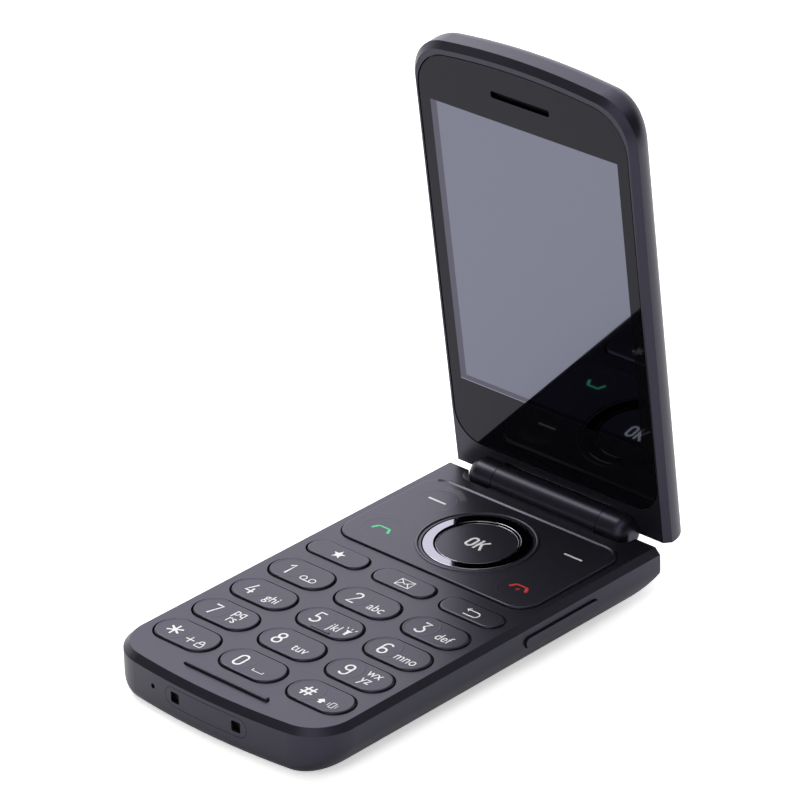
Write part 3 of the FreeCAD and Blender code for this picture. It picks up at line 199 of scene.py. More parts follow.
class PhoneKeypad(bpy.types.PropertyGroup):
    key_length: bpy.props.FloatProperty(
        name="Key length", description="Length of a key across the phone", unit="LENGTH",
        min=0.010, max=0.016, default=0.01395)
    key_depth: bpy.props.FloatProperty(
        name="Key depth", description="Depth of a number key", unit="LENGTH",
        min=0.005, max=0.0092, default=0.00745)
    function_depth: bpy.props.FloatProperty(
        name="Function key depth", description="Depth of a function key", unit="LENGTH",
        min=0.003, max=0.007, default=0.0053)
    key_height: bpy.props.FloatProperty(
        name="Key height", description="Height of a key above the keypad face", unit="LENGTH",
        min=0.0002, max=0.0006, default=0.00036)
    rest_radius: bpy.props.FloatProperty(
        name="Finger rest", description="Radius of the round rest under a digit", unit="LENGTH",
        min=0.002, max=0.0035, default=0.00334)
    digit_height: bpy.props.FloatProperty(
        name="Digit height", description="Height of a digit", unit="LENGTH",
        min=0.002, max=0.005, default=0.0039)
    letter_height: bpy.props.FloatProperty(
        name="Letter height", description="Height of a tall letter", unit="LENGTH",
        min=0.001, max=0.003, default=0.00235)
    ring_outer: bpy.props.FloatProperty(
        name="Ring radius", description="Outer radius of the navigation ring", unit="LENGTH",
        min=0.009, max=0.0103, default=0.01015)
    ring_inner: bpy.props.FloatProperty(
        name="Ring bore", description="Inner radius of the navigation ring", unit="LENGTH",
        min=0.0078, max=0.009, default=0.00802)
    ok_radius: bpy.props.FloatProperty(
        name="OK radius", description="Radius of the OK button", unit="LENGTH",
        min=0.006, max=0.0079, default=0.00775)
    ink: bpy.props.FloatProperty(
        name="Ink", description="Thickness of the printing", unit="LENGTH",
        min=0.00001, max=0.00005, default=0.00002)


class PhoneStudio(bpy.types.PropertyGroup):
    floor: bpy.props.FloatVectorProperty(
        name="Floor", description="Colour of the floor", subtype="COLOR",
        size=3, min=0, max=1, default=(0.90, 0.90, 0.90))
    floor_size: bpy.props.FloatProperty(
        name="Floor size", description="Radius of the round floor", unit="LENGTH",
        min=0.5, max=10, default=3.0)
    light: bpy.props.FloatProperty(
        name="Light", description="Level of the light from all round", min=0.1, max=4, default=1.5)
    softbox: bpy.props.FloatProperty(
        name="Soft lamp", description="Power of the soft lamp behind the phone", unit="POWER",
        min=0, max=50, default=6.05)
    small_lamp: bpy.props.FloatProperty(
        name="Small lamp", description="Power of the small lamp high on the left", unit="POWER",
        min=0, max=10, default=3.4)
    lift: bpy.props.FloatProperty(
        name="Floor lift", description="Light added to the floor where the camera sees it",
        min=0, max=1, default=0.55)
    gloss_lift: bpy.props.FloatProperty(
        name="Mirrored floor lift", description="Light added to the floor where gloss and glass see it",
        min=0, max=1, default=0.05)
    lens: bpy.props.FloatProperty(
        name="Lens", description="Focal length on a 36 mm sensor", subtype="DISTANCE_CAMERA",
        min=20, max=400, default=226.9)


def mm(length):
    """Size of a property group, in millimetres."""
    return length / MM


# Materials

class Value:
    """A shader value on which Python's arithmetic adds Math nodes."""

    def __init__(self, paint, socket):
        self.paint = paint
        self.socket = socket

    def maths(self, operation, first, second):
        return self.paint.node("ShaderNodeMath", {"operation": operation}, {0: first, 1: second})

    def __add__(self, other):
        return self.maths("ADD", self, other)

    def __radd__(self, other):
        return self.maths("ADD", other, self)

    def __sub__(self, other):
        return self.maths("SUBTRACT", self, other)

    def __rsub__(self, other):
        return self.maths("SUBTRACT", other, self)

    def __mul__(self, other):
        return self.maths("MULTIPLY", self, other)

    def __rmul__(self, other):
        return self.maths("MULTIPLY", other, self)

    def within(self, low, high):
        """1 between two limits and 0 outside them."""
        return self.maths("GREATER_THAN", self, low) * self.maths("LESS_THAN", self, high)


class Paint:
    """A material, or the light of the sky, while its nodes are added and joined."""

    def __init__(self, name, kind="materials"):
        self.kind = kind
        self.material = getattr(bpy.data, kind).new(name)
        self.material.use_nodes = True
        self.tree = self.material.node_tree
        self.tree.nodes.clear()
        self.place = self.node("ShaderNodeTexCoord", output="Object")

    def node(self, kind, settings=None, values=None, output=0):
        """Adds a node with its settings first, then the values or links of its sockets."""
        made = self.tree.nodes.new(kind)
        for field, value in (settings or {}).items():
            setattr(made, field, value)
        for key, value in (values or {}).items():
            if isinstance(value, Value):
                self.tree.links.new(value.socket, made.inputs[key])
            else:
                made.inputs[key].default_value = value
        return Value(self, made.outputs[output])

    def outputs(self, value, *names):
        """Other outputs of the node that a value comes from."""
        return [Value(self, value.socket.node.outputs[name]) for name in names]

    def noise(self, size, detail=2.0, stretch=None):
        """Noise with features of a size in metres, from 0 to 1, drawn out by a stretch along each axis."""
        where = self.place
        if stretch:
            where = self.node("ShaderNodeMapping", {"vector_type": "TEXTURE"}, {
                "Vector": where, "Scale": stretch})
        return self.node("ShaderNodeTexNoise", None, {
            "Vector": where, "Scale": 1.0 / size, "Detail": detail})

    def mix(self, share, first, second):
        """Colour between two colours, the second in full where the share is 1."""
        return self.node("ShaderNodeMix", {"data_type": "RGBA"}, {
            "Factor": share, 6: colour4(first), 7: colour4(second)}, output=2)

    def bump(self, height, depth, strength):
        """Relief of a depth in metres where the height goes from 0 to 1."""
        return self.node("ShaderNodeBump", None, {
            "Height": height, "Distance": depth, "Strength": strength})

    def finish(self, values):
        """Ends the material in one principled shader."""
        return self.end(self.node("ShaderNodeBsdfPrincipled", None, values))

    def end(self, shader):
        """Joins a shader to the output, and returns the finished material or sky."""
        output = "ShaderNodeOutputWorld" if self.kind == "worlds" else "ShaderNodeOutputMaterial"
        self.tree.links.new(shader.socket, self.tree.nodes.new(output).inputs["Surface"])
        return self.material

    def seen(self):
        """Two values: 1 where the camera looks, and 1 where gloss or glass does."""
        camera, gloss, through = self.outputs(
            self.node("ShaderNodeLightPath"), "Is Camera Ray", "Is Glossy Ray", "Is Transmission Ray")
        either = self.node("ShaderNodeMath", {"operation": "ADD", "use_clamp": True}, {0: gloss, 1: through})
        return camera, either

    def mirrored_twice(self):
        """1 for light that two surfaces have mirrored in turn."""
        bounces, = self.outputs(self.node("ShaderNodeLightPath"), "Glossy Depth")
        return bounces.within(1.5, 100.0)


def colour4(colour):
    """Colour with its fourth part, or a shader value as it is."""
    return colour if isinstance(colour, Value) else (*tuple(colour)[:3], 1.0)


def scaled(colour, share):
    """Lighter or darker colour of the same hue."""
    return tuple(part * share for part in tuple(colour)[:3])


def satin_plastic(name, colour, grain, gloss=0.34):
    """Moulded plastic with a fine grain, a slightly uneven sheen and a cool gloss."""
    paint = Paint(name)
    fine = paint.noise(grain)
    wide = paint.noise(0.012, 3.0)
    return paint.finish({
        "Base Color": paint.mix(wide, scaled(colour, 0.94), scaled(colour, 1.07)),
        "Roughness": gloss + 0.06 * (wide - 0.5) + 0.05 * (fine - 0.5),
        "Normal": paint.bump(fine, 0.000012, 0.35),
        "Specular IOR Level": 0.70, "Specular Tint": (0.69, 0.66, 0.96, 1)})


def grained(name, colour, roughness, metallic=0.0, stretch=None, grain=0.0003, depth=0.00001):
    """Metal, silicone or film: a fine grain in colour, sheen and surface, drawn out where it is brushed."""
    paint = Paint(name)
    fine = paint.noise(grain, 2.0, stretch)
    wide = paint.noise(0.008, 3.0)
    return paint.finish({
        "Base Color": paint.mix(0.5 * fine + 0.5 * wide, scaled(colour, 0.85), scaled(colour, 1.12)),
        "Metallic": metallic, "Roughness": roughness + 0.12 * (fine - 0.5),
        "Normal": paint.bump(fine, depth, 0.3)})


def clear_gloss(name, colour, roughness=0.03):
    """Polished dark glass or clear plastic over a colour, with a faint waviness in its sheen."""
    paint = Paint(name)
    wide = paint.noise(0.015)
    return paint.finish({
        "Base Color": paint.mix(wide, scaled(colour, 0.9), scaled(colour, 1.1)),
        "Roughness": roughness + 0.03 * wide})


def tracks(name, colour, copper):
    """Coated circuit board with copper tracks under the coat."""
    paint = Paint(name)
    lines = [paint.node("ShaderNodeTexWave", {"bands_direction": way}, {
        "Vector": paint.place, "Scale": 160.0, "Distortion": 6.0, "Detail": 1.0, "Detail Scale": 0.4})
        for way in ("X", "Y")]
    share = (lines[0] * lines[1]).within(0.45, 2.0)
    return paint.finish({
        "Base Color": paint.mix(share, colour, copper), "Roughness": 0.35 - 0.1 * share,
        "Normal": paint.bump(share, 0.00003, 0.5)})


def polish(name):
    """Dark chrome."""
    paint = Paint(name)
    wide = paint.noise(0.01)
    return paint.finish({
        "Base Color": paint.mix(wide, (0.31, 0.30, 0.355), (0.33, 0.32, 0.375)), "Metallic": 1.0,
        "Roughness": 0.04 + 0.03 * wide})


# Colour, roughness and brushing of the plain metals
BRUSHED = (8.0, 1.0, 1.0)
METALS = {
    "dome_steel": ((0.70, 0.70, 0.70), 0.28, None),
    "battery_can": ((0.25, 0.25, 0.27), 0.38, BRUSHED),
    # The contacts' metal is painted nearly black, as painted shade of the hole round them
    "contact_metal": ((0.009, 0.008, 0.006), 0.5, None),
    "socket_steel": ((0.45, 0.45, 0.47), 0.30, BRUSHED),
    "screw_steel": ((0.10, 0.10, 0.11), 0.35, None),
    "hinge_steel": ((0.50, 0.50, 0.52), 0.30, BRUSHED),
    "tray_steel": ((0.55, 0.55, 0.57), 0.35, BRUSHED),
    "earpiece_steel": ((0.45, 0.45, 0.47), 0.35, None),
    "mesh_steel": ((0.012, 0.012, 0.014), 0.45, None),
}


def slot_finish(slot, finish):
    """Material of a slot of the record."""
    if slot in METALS:
        colour, roughness, stretch = METALS[slot]
        return grained(slot, colour, roughness, 1.0, stretch)
    if slot == "key_plastic":
        return satin_plastic(slot, finish.keys, finish.grain)
    if slot == "rubber":
        return satin_plastic(slot, finish.housing, 0.0002, 0.42)
    if slot == "silicone":
        return grained(slot, (0.62, 0.62, 0.60), 0.55, grain=0.0005, depth=0.00002)
    if slot == "cable_film":
        return grained(slot, (0.50, 0.26, 0.06), 0.30)
    if slot == "circuit_board":
        return tracks(slot, (0.015, 0.12, 0.05), (0.09, 0.22, 0.07))
    if slot == "lamp_lens":
        return clear_gloss(slot, (0.80, 0.78, 0.70), 0.08)
    if slot == "ring_gloss":
        return polish(slot)
    if slot in ("pane", "camera_black", "display"):
        return clear_gloss(slot, (0.006, 0.006, 0.008))
    return satin_plastic(slot, finish.housing, finish.grain)


def printed(name, colour, metallic=0.35):
    """Printing ink with fine specks, silvery unless it is coloured."""
    paint = Paint(name)
    fine = paint.noise(0.0003)
    return paint.finish({
        "Base Color": paint.mix(fine, scaled(colour, 0.92), scaled(colour, 1.0)),
        "Metallic": metallic, "Roughness": 0.48 + 0.1 * fine})


def dress(node_name, material):
    """Gives a carried-over node its material."""
    obj = frame["nodes"][node_name]
    obj.data.materials.clear()
    obj.data.materials.append(material)


def frame_slot(node):
    """Material slot that the record gives a node."""
    return next(part["material_slot"] for part in frame["record"]["subparts"] if part["node"] == node)


# Shaping

def fresh(add, **settings):
    """Deselects everything, then adds a primitive and returns it."""
    bpy.ops.object.select_all(action="DESELECT")
    add(**settings)
    return bpy.context.object


def take(obj):
    """Makes a piece the only one that operators act on."""
    bpy.ops.object.select_all(action="DESELECT")
    obj.select_set(True)
    bpy.context.view_layer.objects.active = obj


def choose(obj, kind, wanted):
    """In edit mode, selects the edges or corners for which wanted is true."""
    bpy.ops.mesh.select_all(action="DESELECT")
    bpy.ops.mesh.select_mode(type=kind)
    mesh = bmesh.from_edit_mesh(obj.data)
    for item in {"EDGE": mesh.edges, "VERT": mesh.verts}[kind]:
        if wanted(item):
            item.select_set(True)
    bmesh.update_edit_mesh(obj.data)


def rim_at(height):
    """Test for the edges round a flat face at a height."""
    def wanted(edge):
        level = all(abs(corner.co.z - height) < 1e-3 for corner in edge.verts)
        up = [abs(face.normal.z) > 0.99 for face in edge.link_faces]
        return level and len(up) == 2 and up[0] != up[1]
    return wanted


def modifier(obj, kind, **settings):
    """Adds a modifier to the piece and applies it."""
    take(obj)
    added = obj.modifiers.new(kind.lower(), kind)
    for field, value in settings.items():
        setattr(added, field, value)
    bpy.ops.object.modifier_apply(modifier=added.name)


def carve(obj, tool, operation="DIFFERENCE"):
    """Cuts a tool out of the piece, or joins it on, and throws the tool away."""
    modifier(obj, "BOOLEAN", operation=operation, object=tool, solver="EXACT")
    bpy.data.objects.remove(tool)


def settle(obj, name, body, material, nodes=(), rounded=40):
    """Puts a piece made in millimetres in its place, on a body and for the nodes that it replaces."""
    if rounded:
        take(obj)
        bpy.ops.object.shade_smooth_by_angle(angle=math.radians(rounded))
        modifier(obj, "WEIGHTED_NORMAL", keep_sharp=True)
    obj.name = name
    obj.data.name = name
    obj.data.transform(BASE_PLACE @ obj.matrix_world)
    obj.matrix_world = Matrix.Identity(4)
    obj.data.materials.clear()
    obj.data.materials.append(material)
    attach(obj, body)
    if nodes:
        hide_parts(*nodes)
        frame_slot(nodes[0])


def spot(obj, x, y, z=0):
    """Moves a piece that is still being made, in millimetres."""
    obj.location = (x, y, z)
    take(obj)
    bpy.ops.object.transform_apply(location=True, rotation=True, scale=True)
    return obj


def twin(obj):
    """Copy of a piece with its own mesh."""
    copy = obj.copy()
    copy.data = obj.data.copy()
    bpy.context.scene.collection.objects.link(copy)
    return copy


def pill(width, depth, low, high, steps=40):
    """Stadium-shaped block, long in x."""
    obj = fresh(bpy.ops.mesh.primitive_cylinder_add, vertices=steps, radius=depth / 2,
                depth=high - low, location=(0, 0, (low + high) / 2), rotation=(0, 0, math.pi / steps))
    bpy.ops.object.transform_apply(location=True, rotation=True)
    bpy.ops.object.mode_set(mode="EDIT")
    for side in (-1, 1):
        choose(obj, "VERT", lambda corner: corner.co.x * side > 1e-4)
        bpy.ops.transform.translate(value=(side * (width - depth) / 2, 0, 0))
    bpy.ops.object.mode_set(mode="OBJECT")
    return obj


def soft_block(width, depth, corner, low, high):
    """Block with round vertical corners."""
    obj = fresh(bpy.ops.mesh.primitive_cube_add, size=1, location=(0, 0, (low + high) / 2))
    obj.scale = (width, depth, high - low)
    bpy.ops.object.transform_apply(location=True, scale=True)
    soften(obj, lambda edge: abs(edge.verts[0].co.z - edge.verts[1].co.z) > 1e-3, corner, 12)
    return obj


def drum(radius, low, high):
    """Round block."""
    obj = fresh(bpy.ops.mesh.primitive_cylinder_add, vertices=128, radius=radius,
                depth=high - low, location=(0, 0, (low + high) / 2))
    bpy.ops.object.transform_apply(location=True)
    return obj


def hole(radius):
    """Round tool that reaches through any of the keypad's pieces."""
    return drum(radius, -3, 3)


def soften(obj, wanted, width, steps):
    """Rounds the edges for which wanted is true."""
    take(obj)
    bpy.ops.object.mode_set(mode="EDIT")
    choose(obj, "EDGE", wanted)
    bpy.ops.mesh.bevel(offset=width, segments=steps, profile=0.5, affect="EDGES")
    bpy.ops.object.mode_set(mode="OBJECT")


def finger_rest(obj, x, y, radius, top, depth, slope, rise):
    """Sinks a shallow round rest into a face, with a fine rim round it."""
    edge = radius - RIM_INSET
    carve(obj, fresh(bpy.ops.mesh.primitive_cone_add, vertices=96, radius1=edge - slope,
                     radius2=edge + slope, depth=2 * depth, location=(x, y, top)))
    bead(obj, x, y, radius, top, RIM_WIDTH, rise)


def bead(obj, x, y, radius, top, width, rise):
    """Raises a fine round ridge on a face, along a circle."""
    section = (width * width / 4 + rise * rise) / (2 * rise)
    ridge = fresh(bpy.ops.mesh.primitive_torus_add, major_radius=radius, minor_radius=section,
                  major_segments=96, minor_segments=36, location=(x, y, top + rise - section))
    carve(obj, ridge, "UNION")


# Lines and flat shapes, for the printing and the ridge on the plate

def words(text, height, squeeze, ink):
    """Flat lettering with capitals of a height, narrowed by a share."""
    obj = fresh(bpy.ops.object.text_add)
    letters = obj.data
    letters.body = text
    letters.size = height / CAPITAL_SHARE
    letters.extrude = ink / 2
    letters.align_x = "CENTER"
    bpy.ops.object.convert(target="MESH")
    obj = bpy.context.object
    obj.scale = (squeeze, 1, 1)
    bpy.ops.object.transform_apply(scale=True)
    return obj


def centred(obj, x, y, z):
    """Centres flat lettering across a place, with its base line on the place."""
    xs = [corner.co.x for corner in obj.data.vertices]
    return spot(obj, x - (min(xs) + max(xs)) / 2, y, z)


def path(points, closed):
    """Curve of straight runs through flat points."""
    obj = fresh(bpy.ops.curve.primitive_nurbs_path_add)
    curve = obj.data
    curve.splines.clear()
    spline = curve.splines.new("POLY")
    spline.points.add(len(points) - 1)
    for point, (x, y) in zip(spline.points, points):
        point.co = (x, y, 0, 1)
    spline.use_cyclic_u = closed
    return obj


def stroke(points, width, height, closed=False, place=(0.0, 0.0, 0.0), sides=2):
    """Line of a width and height through points, moved to a place.

    With 0 sides it is a ridge with flat slopes.
    """
    obj = path(points, closed)
    obj.data.dimensions = "3D"
    obj.data.bevel_depth = width / 2
    obj.data.bevel_resolution = sides
    obj.data.use_fill_caps = True
    bpy.ops.object.convert(target="MESH")
    obj = bpy.context.object
    obj.scale = (1, 1, height / width)
    bpy.ops.object.transform_apply(scale=True)
    return spot(obj, *place)


def filled(points, height, place):
    """Flat shape with the given corners, moved to a place."""
    obj = path(points, True)
    obj.data.dimensions = "2D"
    obj.data.fill_mode = "BOTH"
    obj.data.extrude = height / 2
    bpy.ops.object.convert(target="MESH")
    return spot(bpy.context.object, *place)


def joined(parts):
    """One piece out of several."""
    take(parts[0])
    for part in parts:
        part.select_set(True)
    if len(parts) > 1:
        bpy.ops.object.join()
    return bpy.context.view_layer.objects.active


def arc(x, y, radius, start, end, steps=14):
    """Points along an arc round a middle, from one angle to another."""
    turns = [math.radians(start + (end - start) * step / steps) for step in range(steps + 1)]
    return [(x + radius * math.cos(turn), y + radius * math.sin(turn)) for turn in turns]


def resized(points, size):
    """Points drawn larger or smaller."""
    return [(x * size, y * size) for x, y in points]


# Middle lines of the digits and signs that stand on a finger rest, drawn for a digit of DIGIT_DRAWN
DIGIT_LINES = {
    "0": [(arc(0, 0.89, 0.82, 0, 180) + arc(0, -0.89, 0.82, 180, 360), True)],
    "1": [([(-0.62, 0.98), (0.22, 1.72), (0.22, -1.72)], False)],
    "2": [(arc(0, 0.92, 0.80, 172, -38) + [(-0.84, -1.70), (0.88, -1.70)], False)],
    "3": [([(-0.74, 1.70), (0.80, 1.70), (-0.05, 0.42)] + arc(-0.05, -0.83, 0.88, 72, -158), False)],
    "4": [([(0.18, 1.72), (-0.92, -0.80), (0.98, -0.80)], False), ([(0.42, 0.25), (0.42, -1.72)], False)],
    "5": [([(0.78, 1.70), (-0.55, 1.70), (-0.66, 0.18)] + arc(-0.06, -0.75, 0.95, 120, -150), False)],
    "6": [(arc(0, 0.86, 0.84, 28, 180) + arc(0, -0.86, 0.84, 180, 540, 28), False)],
    "7": [([(-0.80, 1.70), (0.86, 1.70), (-0.22, -1.72)], False)],
    "8": [(arc(0, 0.90, 0.74, 0, 360, 24), True), (arc(0, -0.83, 0.86, 0, 360, 24), True)],
    "9": [(arc(0, -0.86, 0.84, 208, 360) + arc(0, 0.86, 0.84, 0, 360, 28), False)],
    "star": [([(0, 1.6), (0, -1.6)], False), ([(-1.4, 0.8), (1.4, -0.8)], False),
             ([(-1.4, -0.8), (1.4, 0.8)], False)],
    "hash": [([(-0.35, 1.5), (-0.75, -1.5)], False), ([(0.75, 1.5), (0.35, -1.5)], False),
             ([(-1.3, 0.55), (1.4, 0.55)], False), ([(-1.4, -0.55), (1.3, -0.55)], False)],
}


class PHONE_OT_finishes(bpy.types.Operator):
    """Gives every part of the frame the finish of its material slot"""
    bl_idname = "phone.finishes"
    bl_label = "Finishes"

    def execute(self, context):
        made = {}
        for name in frame["nodes"]:
            slot = frame_slot(name)
            if slot not in made:
                made[slot] = slot_finish(slot, context.scene.phone_finish)
            dress(name, made[slot])
        return {"FINISHED"}


class PHONE_OT_keys(bpy.types.Operator):
    """Moulds the number keys and the function keys"""
    bl_idname = "phone.keys"
    bl_label = "Keys"

    def execute(self, context):
        finish = context.scene.phone_finish
        keypad = context.scene.phone_keypad
        plastic = satin_plastic("cap_plastic", finish.keys, finish.grain)
        top = mm(keypad.key_height)
        length = mm(keypad.key_length)
        depth = mm(keypad.key_depth)
        number = self.cap(length, depth, top)
        finger_rest(number, (depth - length) / 2, 0, mm(keypad.rest_radius), top,
                    REST_DEPTH, REST_SLOPE, RIM_RISE)
        for row, names in zip(ROWS, NUMBER_KEYS):
            self.row_of(number, row, names, plastic)
        bpy.data.objects.remove(number)
        function = self.cap(length, mm(keypad.function_depth), top)
        self.row_of(function, FUNCTION_ROW, FUNCTION_KEYS, plastic)
        bpy.data.objects.remove(function)
        self.touch_bar(top, plastic)
        return {"FINISHED"}

    def cap(self, length, depth, top):
        """Cap of a key, from its foot inside the phone to its rounded top."""
        key = pill(length, depth, KEY_FOOT, top)
        soften(key, rim_at(top), CAP_ROUND, 5)
        return key

    def row_of(self, first, row, names, plastic):
        """Copies the first cap to each key of a row."""
        for column, name in zip(COLUMNS, names):
            key = spot(twin(first), column + CAP_SHIFT[0], row + CAP_SHIFT[1])
            settle(key, "cap_" + name, "key_" + name, plastic, ["key_" + name])

    def touch_bar(self, top, plastic):
        """Raised bar on the front edge of the middle key, for finding it by touch."""
        x, y = BAR_PLACE
        bar = pill(*BAR_SIZE, top - BAR_ROOT, top + BAR_RISE, 20)
        soften(bar, rim_at(top + BAR_RISE), BAR_ROUND, 3)
        spot(bar, x, ROWS[1] + y)
        settle(bar, "touch_bar", "key_5", plastic)


class PHONE_OT_navigation(bpy.types.Operator):
    """Moulds the corner key plate, the ring and the OK button"""
    bl_idname = "phone.navigation"
    bl_label = "Navigation"

    def execute(self, context):
        finish = context.scene.phone_finish
        keypad = context.scene.phone_keypad
        # The plate and the OK button take the key plastic a quarter lighter. This is painted light that brightens
        # their shaded parts
        plastic = satin_plastic("lightened_key_plastic", scaled(finish.keys, 1.25), finish.grain)
        chrome = polish("ring_chrome")
        self.plate(plastic)
        self.lip(plastic)
        self.fine_arcs(printed("ink_grey", scaled(finish.legend, 0.38)), mm(keypad.ink))
        self.ring(keypad, chrome)
        self.button(keypad, plastic, chrome)
        return {"FINISHED"}

    def plate(self, plastic):
        """Plate with the four corner keys, a collar round the ring and a shallow rest under each sign."""
        plate = soft_block(PLATE_WIDTH, PLATE_DEPTH, PLATE_CORNER, KEY_FOOT, PLATE_TOP)
        soften(plate, rim_at(PLATE_TOP), PLATE_ROUND, 5)
        spot(plate, 0, PLATE_MIDDLE)
        carve(plate, spot(hole(RING_OPENING), 0, RING_MIDDLE))
        bead(plate, 0, RING_MIDDLE, COLLAR_RADIUS, PLATE_TOP, COLLAR_WIDTH, COLLAR_RISE)
        for x, y, rise in CORNER_RESTS:
            finger_rest(plate, x, y, CORNER_REST_RADIUS, PLATE_TOP,
                        CORNER_REST_DEPTH, CORNER_REST_SLOPE, rise)
        settle(plate, "corner_key_plate", "nav_plate", plastic, ["nav_plate"], rounded=30)

    def lip(self, plastic):
        """Ridge along the rear edge of the plate and into its two corners."""
        x = PLATE_WIDTH / 2 - PLATE_CORNER
        y = PLATE_MIDDLE + PLATE_DEPTH / 2 - PLATE_CORNER
        radius = PLATE_CORNER - LIP_INSET
        points = arc(-x, y, radius, 130, 90, 6) + arc(x, y, radius, 90, 40, 6)
        lip = stroke(points, LIP_WIDTH, LIP_HEIGHT, place=(0, 0, PLATE_TOP - LIP_SUNK), sides=0)
        settle(lip, "plate_lip", "nav_plate", plastic)

    def fine_arcs(self, grey, ink):
        """Printed hairlines behind the left corner sign."""
        x, y = CORNER_RESTS[0][:2]
        lines = [stroke(arc(x, y, radius, 40, 130, 24), FINE_LINE, ink, place=(0, 0, PLATE_TOP + ink / 2))
                 for radius in FINE_ARCS]
        settle(joined(lines), "fine_arcs", "nav_plate", grey)

    def ring(self, keypad, chrome):
        """Polished ring round the OK button."""
        ring = drum(mm(keypad.ring_outer), KEY_FOOT, PLATE_TOP)
        carve(ring, hole(mm(keypad.ring_inner)))
        soften(ring, rim_at(PLATE_TOP), RING_ROUND, 4)
        spot(ring, 0, RING_MIDDLE)
        settle(ring, "polished_ring", "nav_ring", chrome, ["nav_ring"], rounded=30)

    def button(self, keypad, plastic, chrome):
        """Round button inside the ring, with a bright rim."""
        radius = mm(keypad.ok_radius)
        button = drum(radius, KEY_FOOT, OK_TOP)
        soften(button, rim_at(OK_TOP), OK_ROUND, 3)
        spot(button, 0, RING_MIDDLE)
        settle(button, "ok_cap", "ok_button", plastic, ["ok_button"], rounded=30)
        rim = fresh(bpy.ops.mesh.primitive_torus_add, major_radius=radius - OK_RIM, minor_radius=OK_RIM,
                    major_segments=128, minor_segments=16,
                    location=(0, RING_MIDDLE, OK_TOP - OK_RIM_SUNK))
        settle(rim, "ok_rim", "ok_button", chrome, rounded=60)


class PHONE_OT_rubber(bpy.types.Operator):
    """Makes the rubber strip that the lid closes on"""
    bl_idname = "phone.rubber"
    bl_label = "Rubber strip"

    def execute(self, context):
        rubber = slot_finish("rubber", context.scene.phone_finish)
        strip = pill(*STRIP_SIZE, STRIP_FOOT, STRIP_TOP, 24)
        soften(strip, rim_at(STRIP_TOP), STRIP_ROUND, 5)
        spot(strip, *STRIP_PLACE)
        settle(strip, "rubber_strip", "base", rubber, ["bumper_strip"])
        return {"FINISHED"}


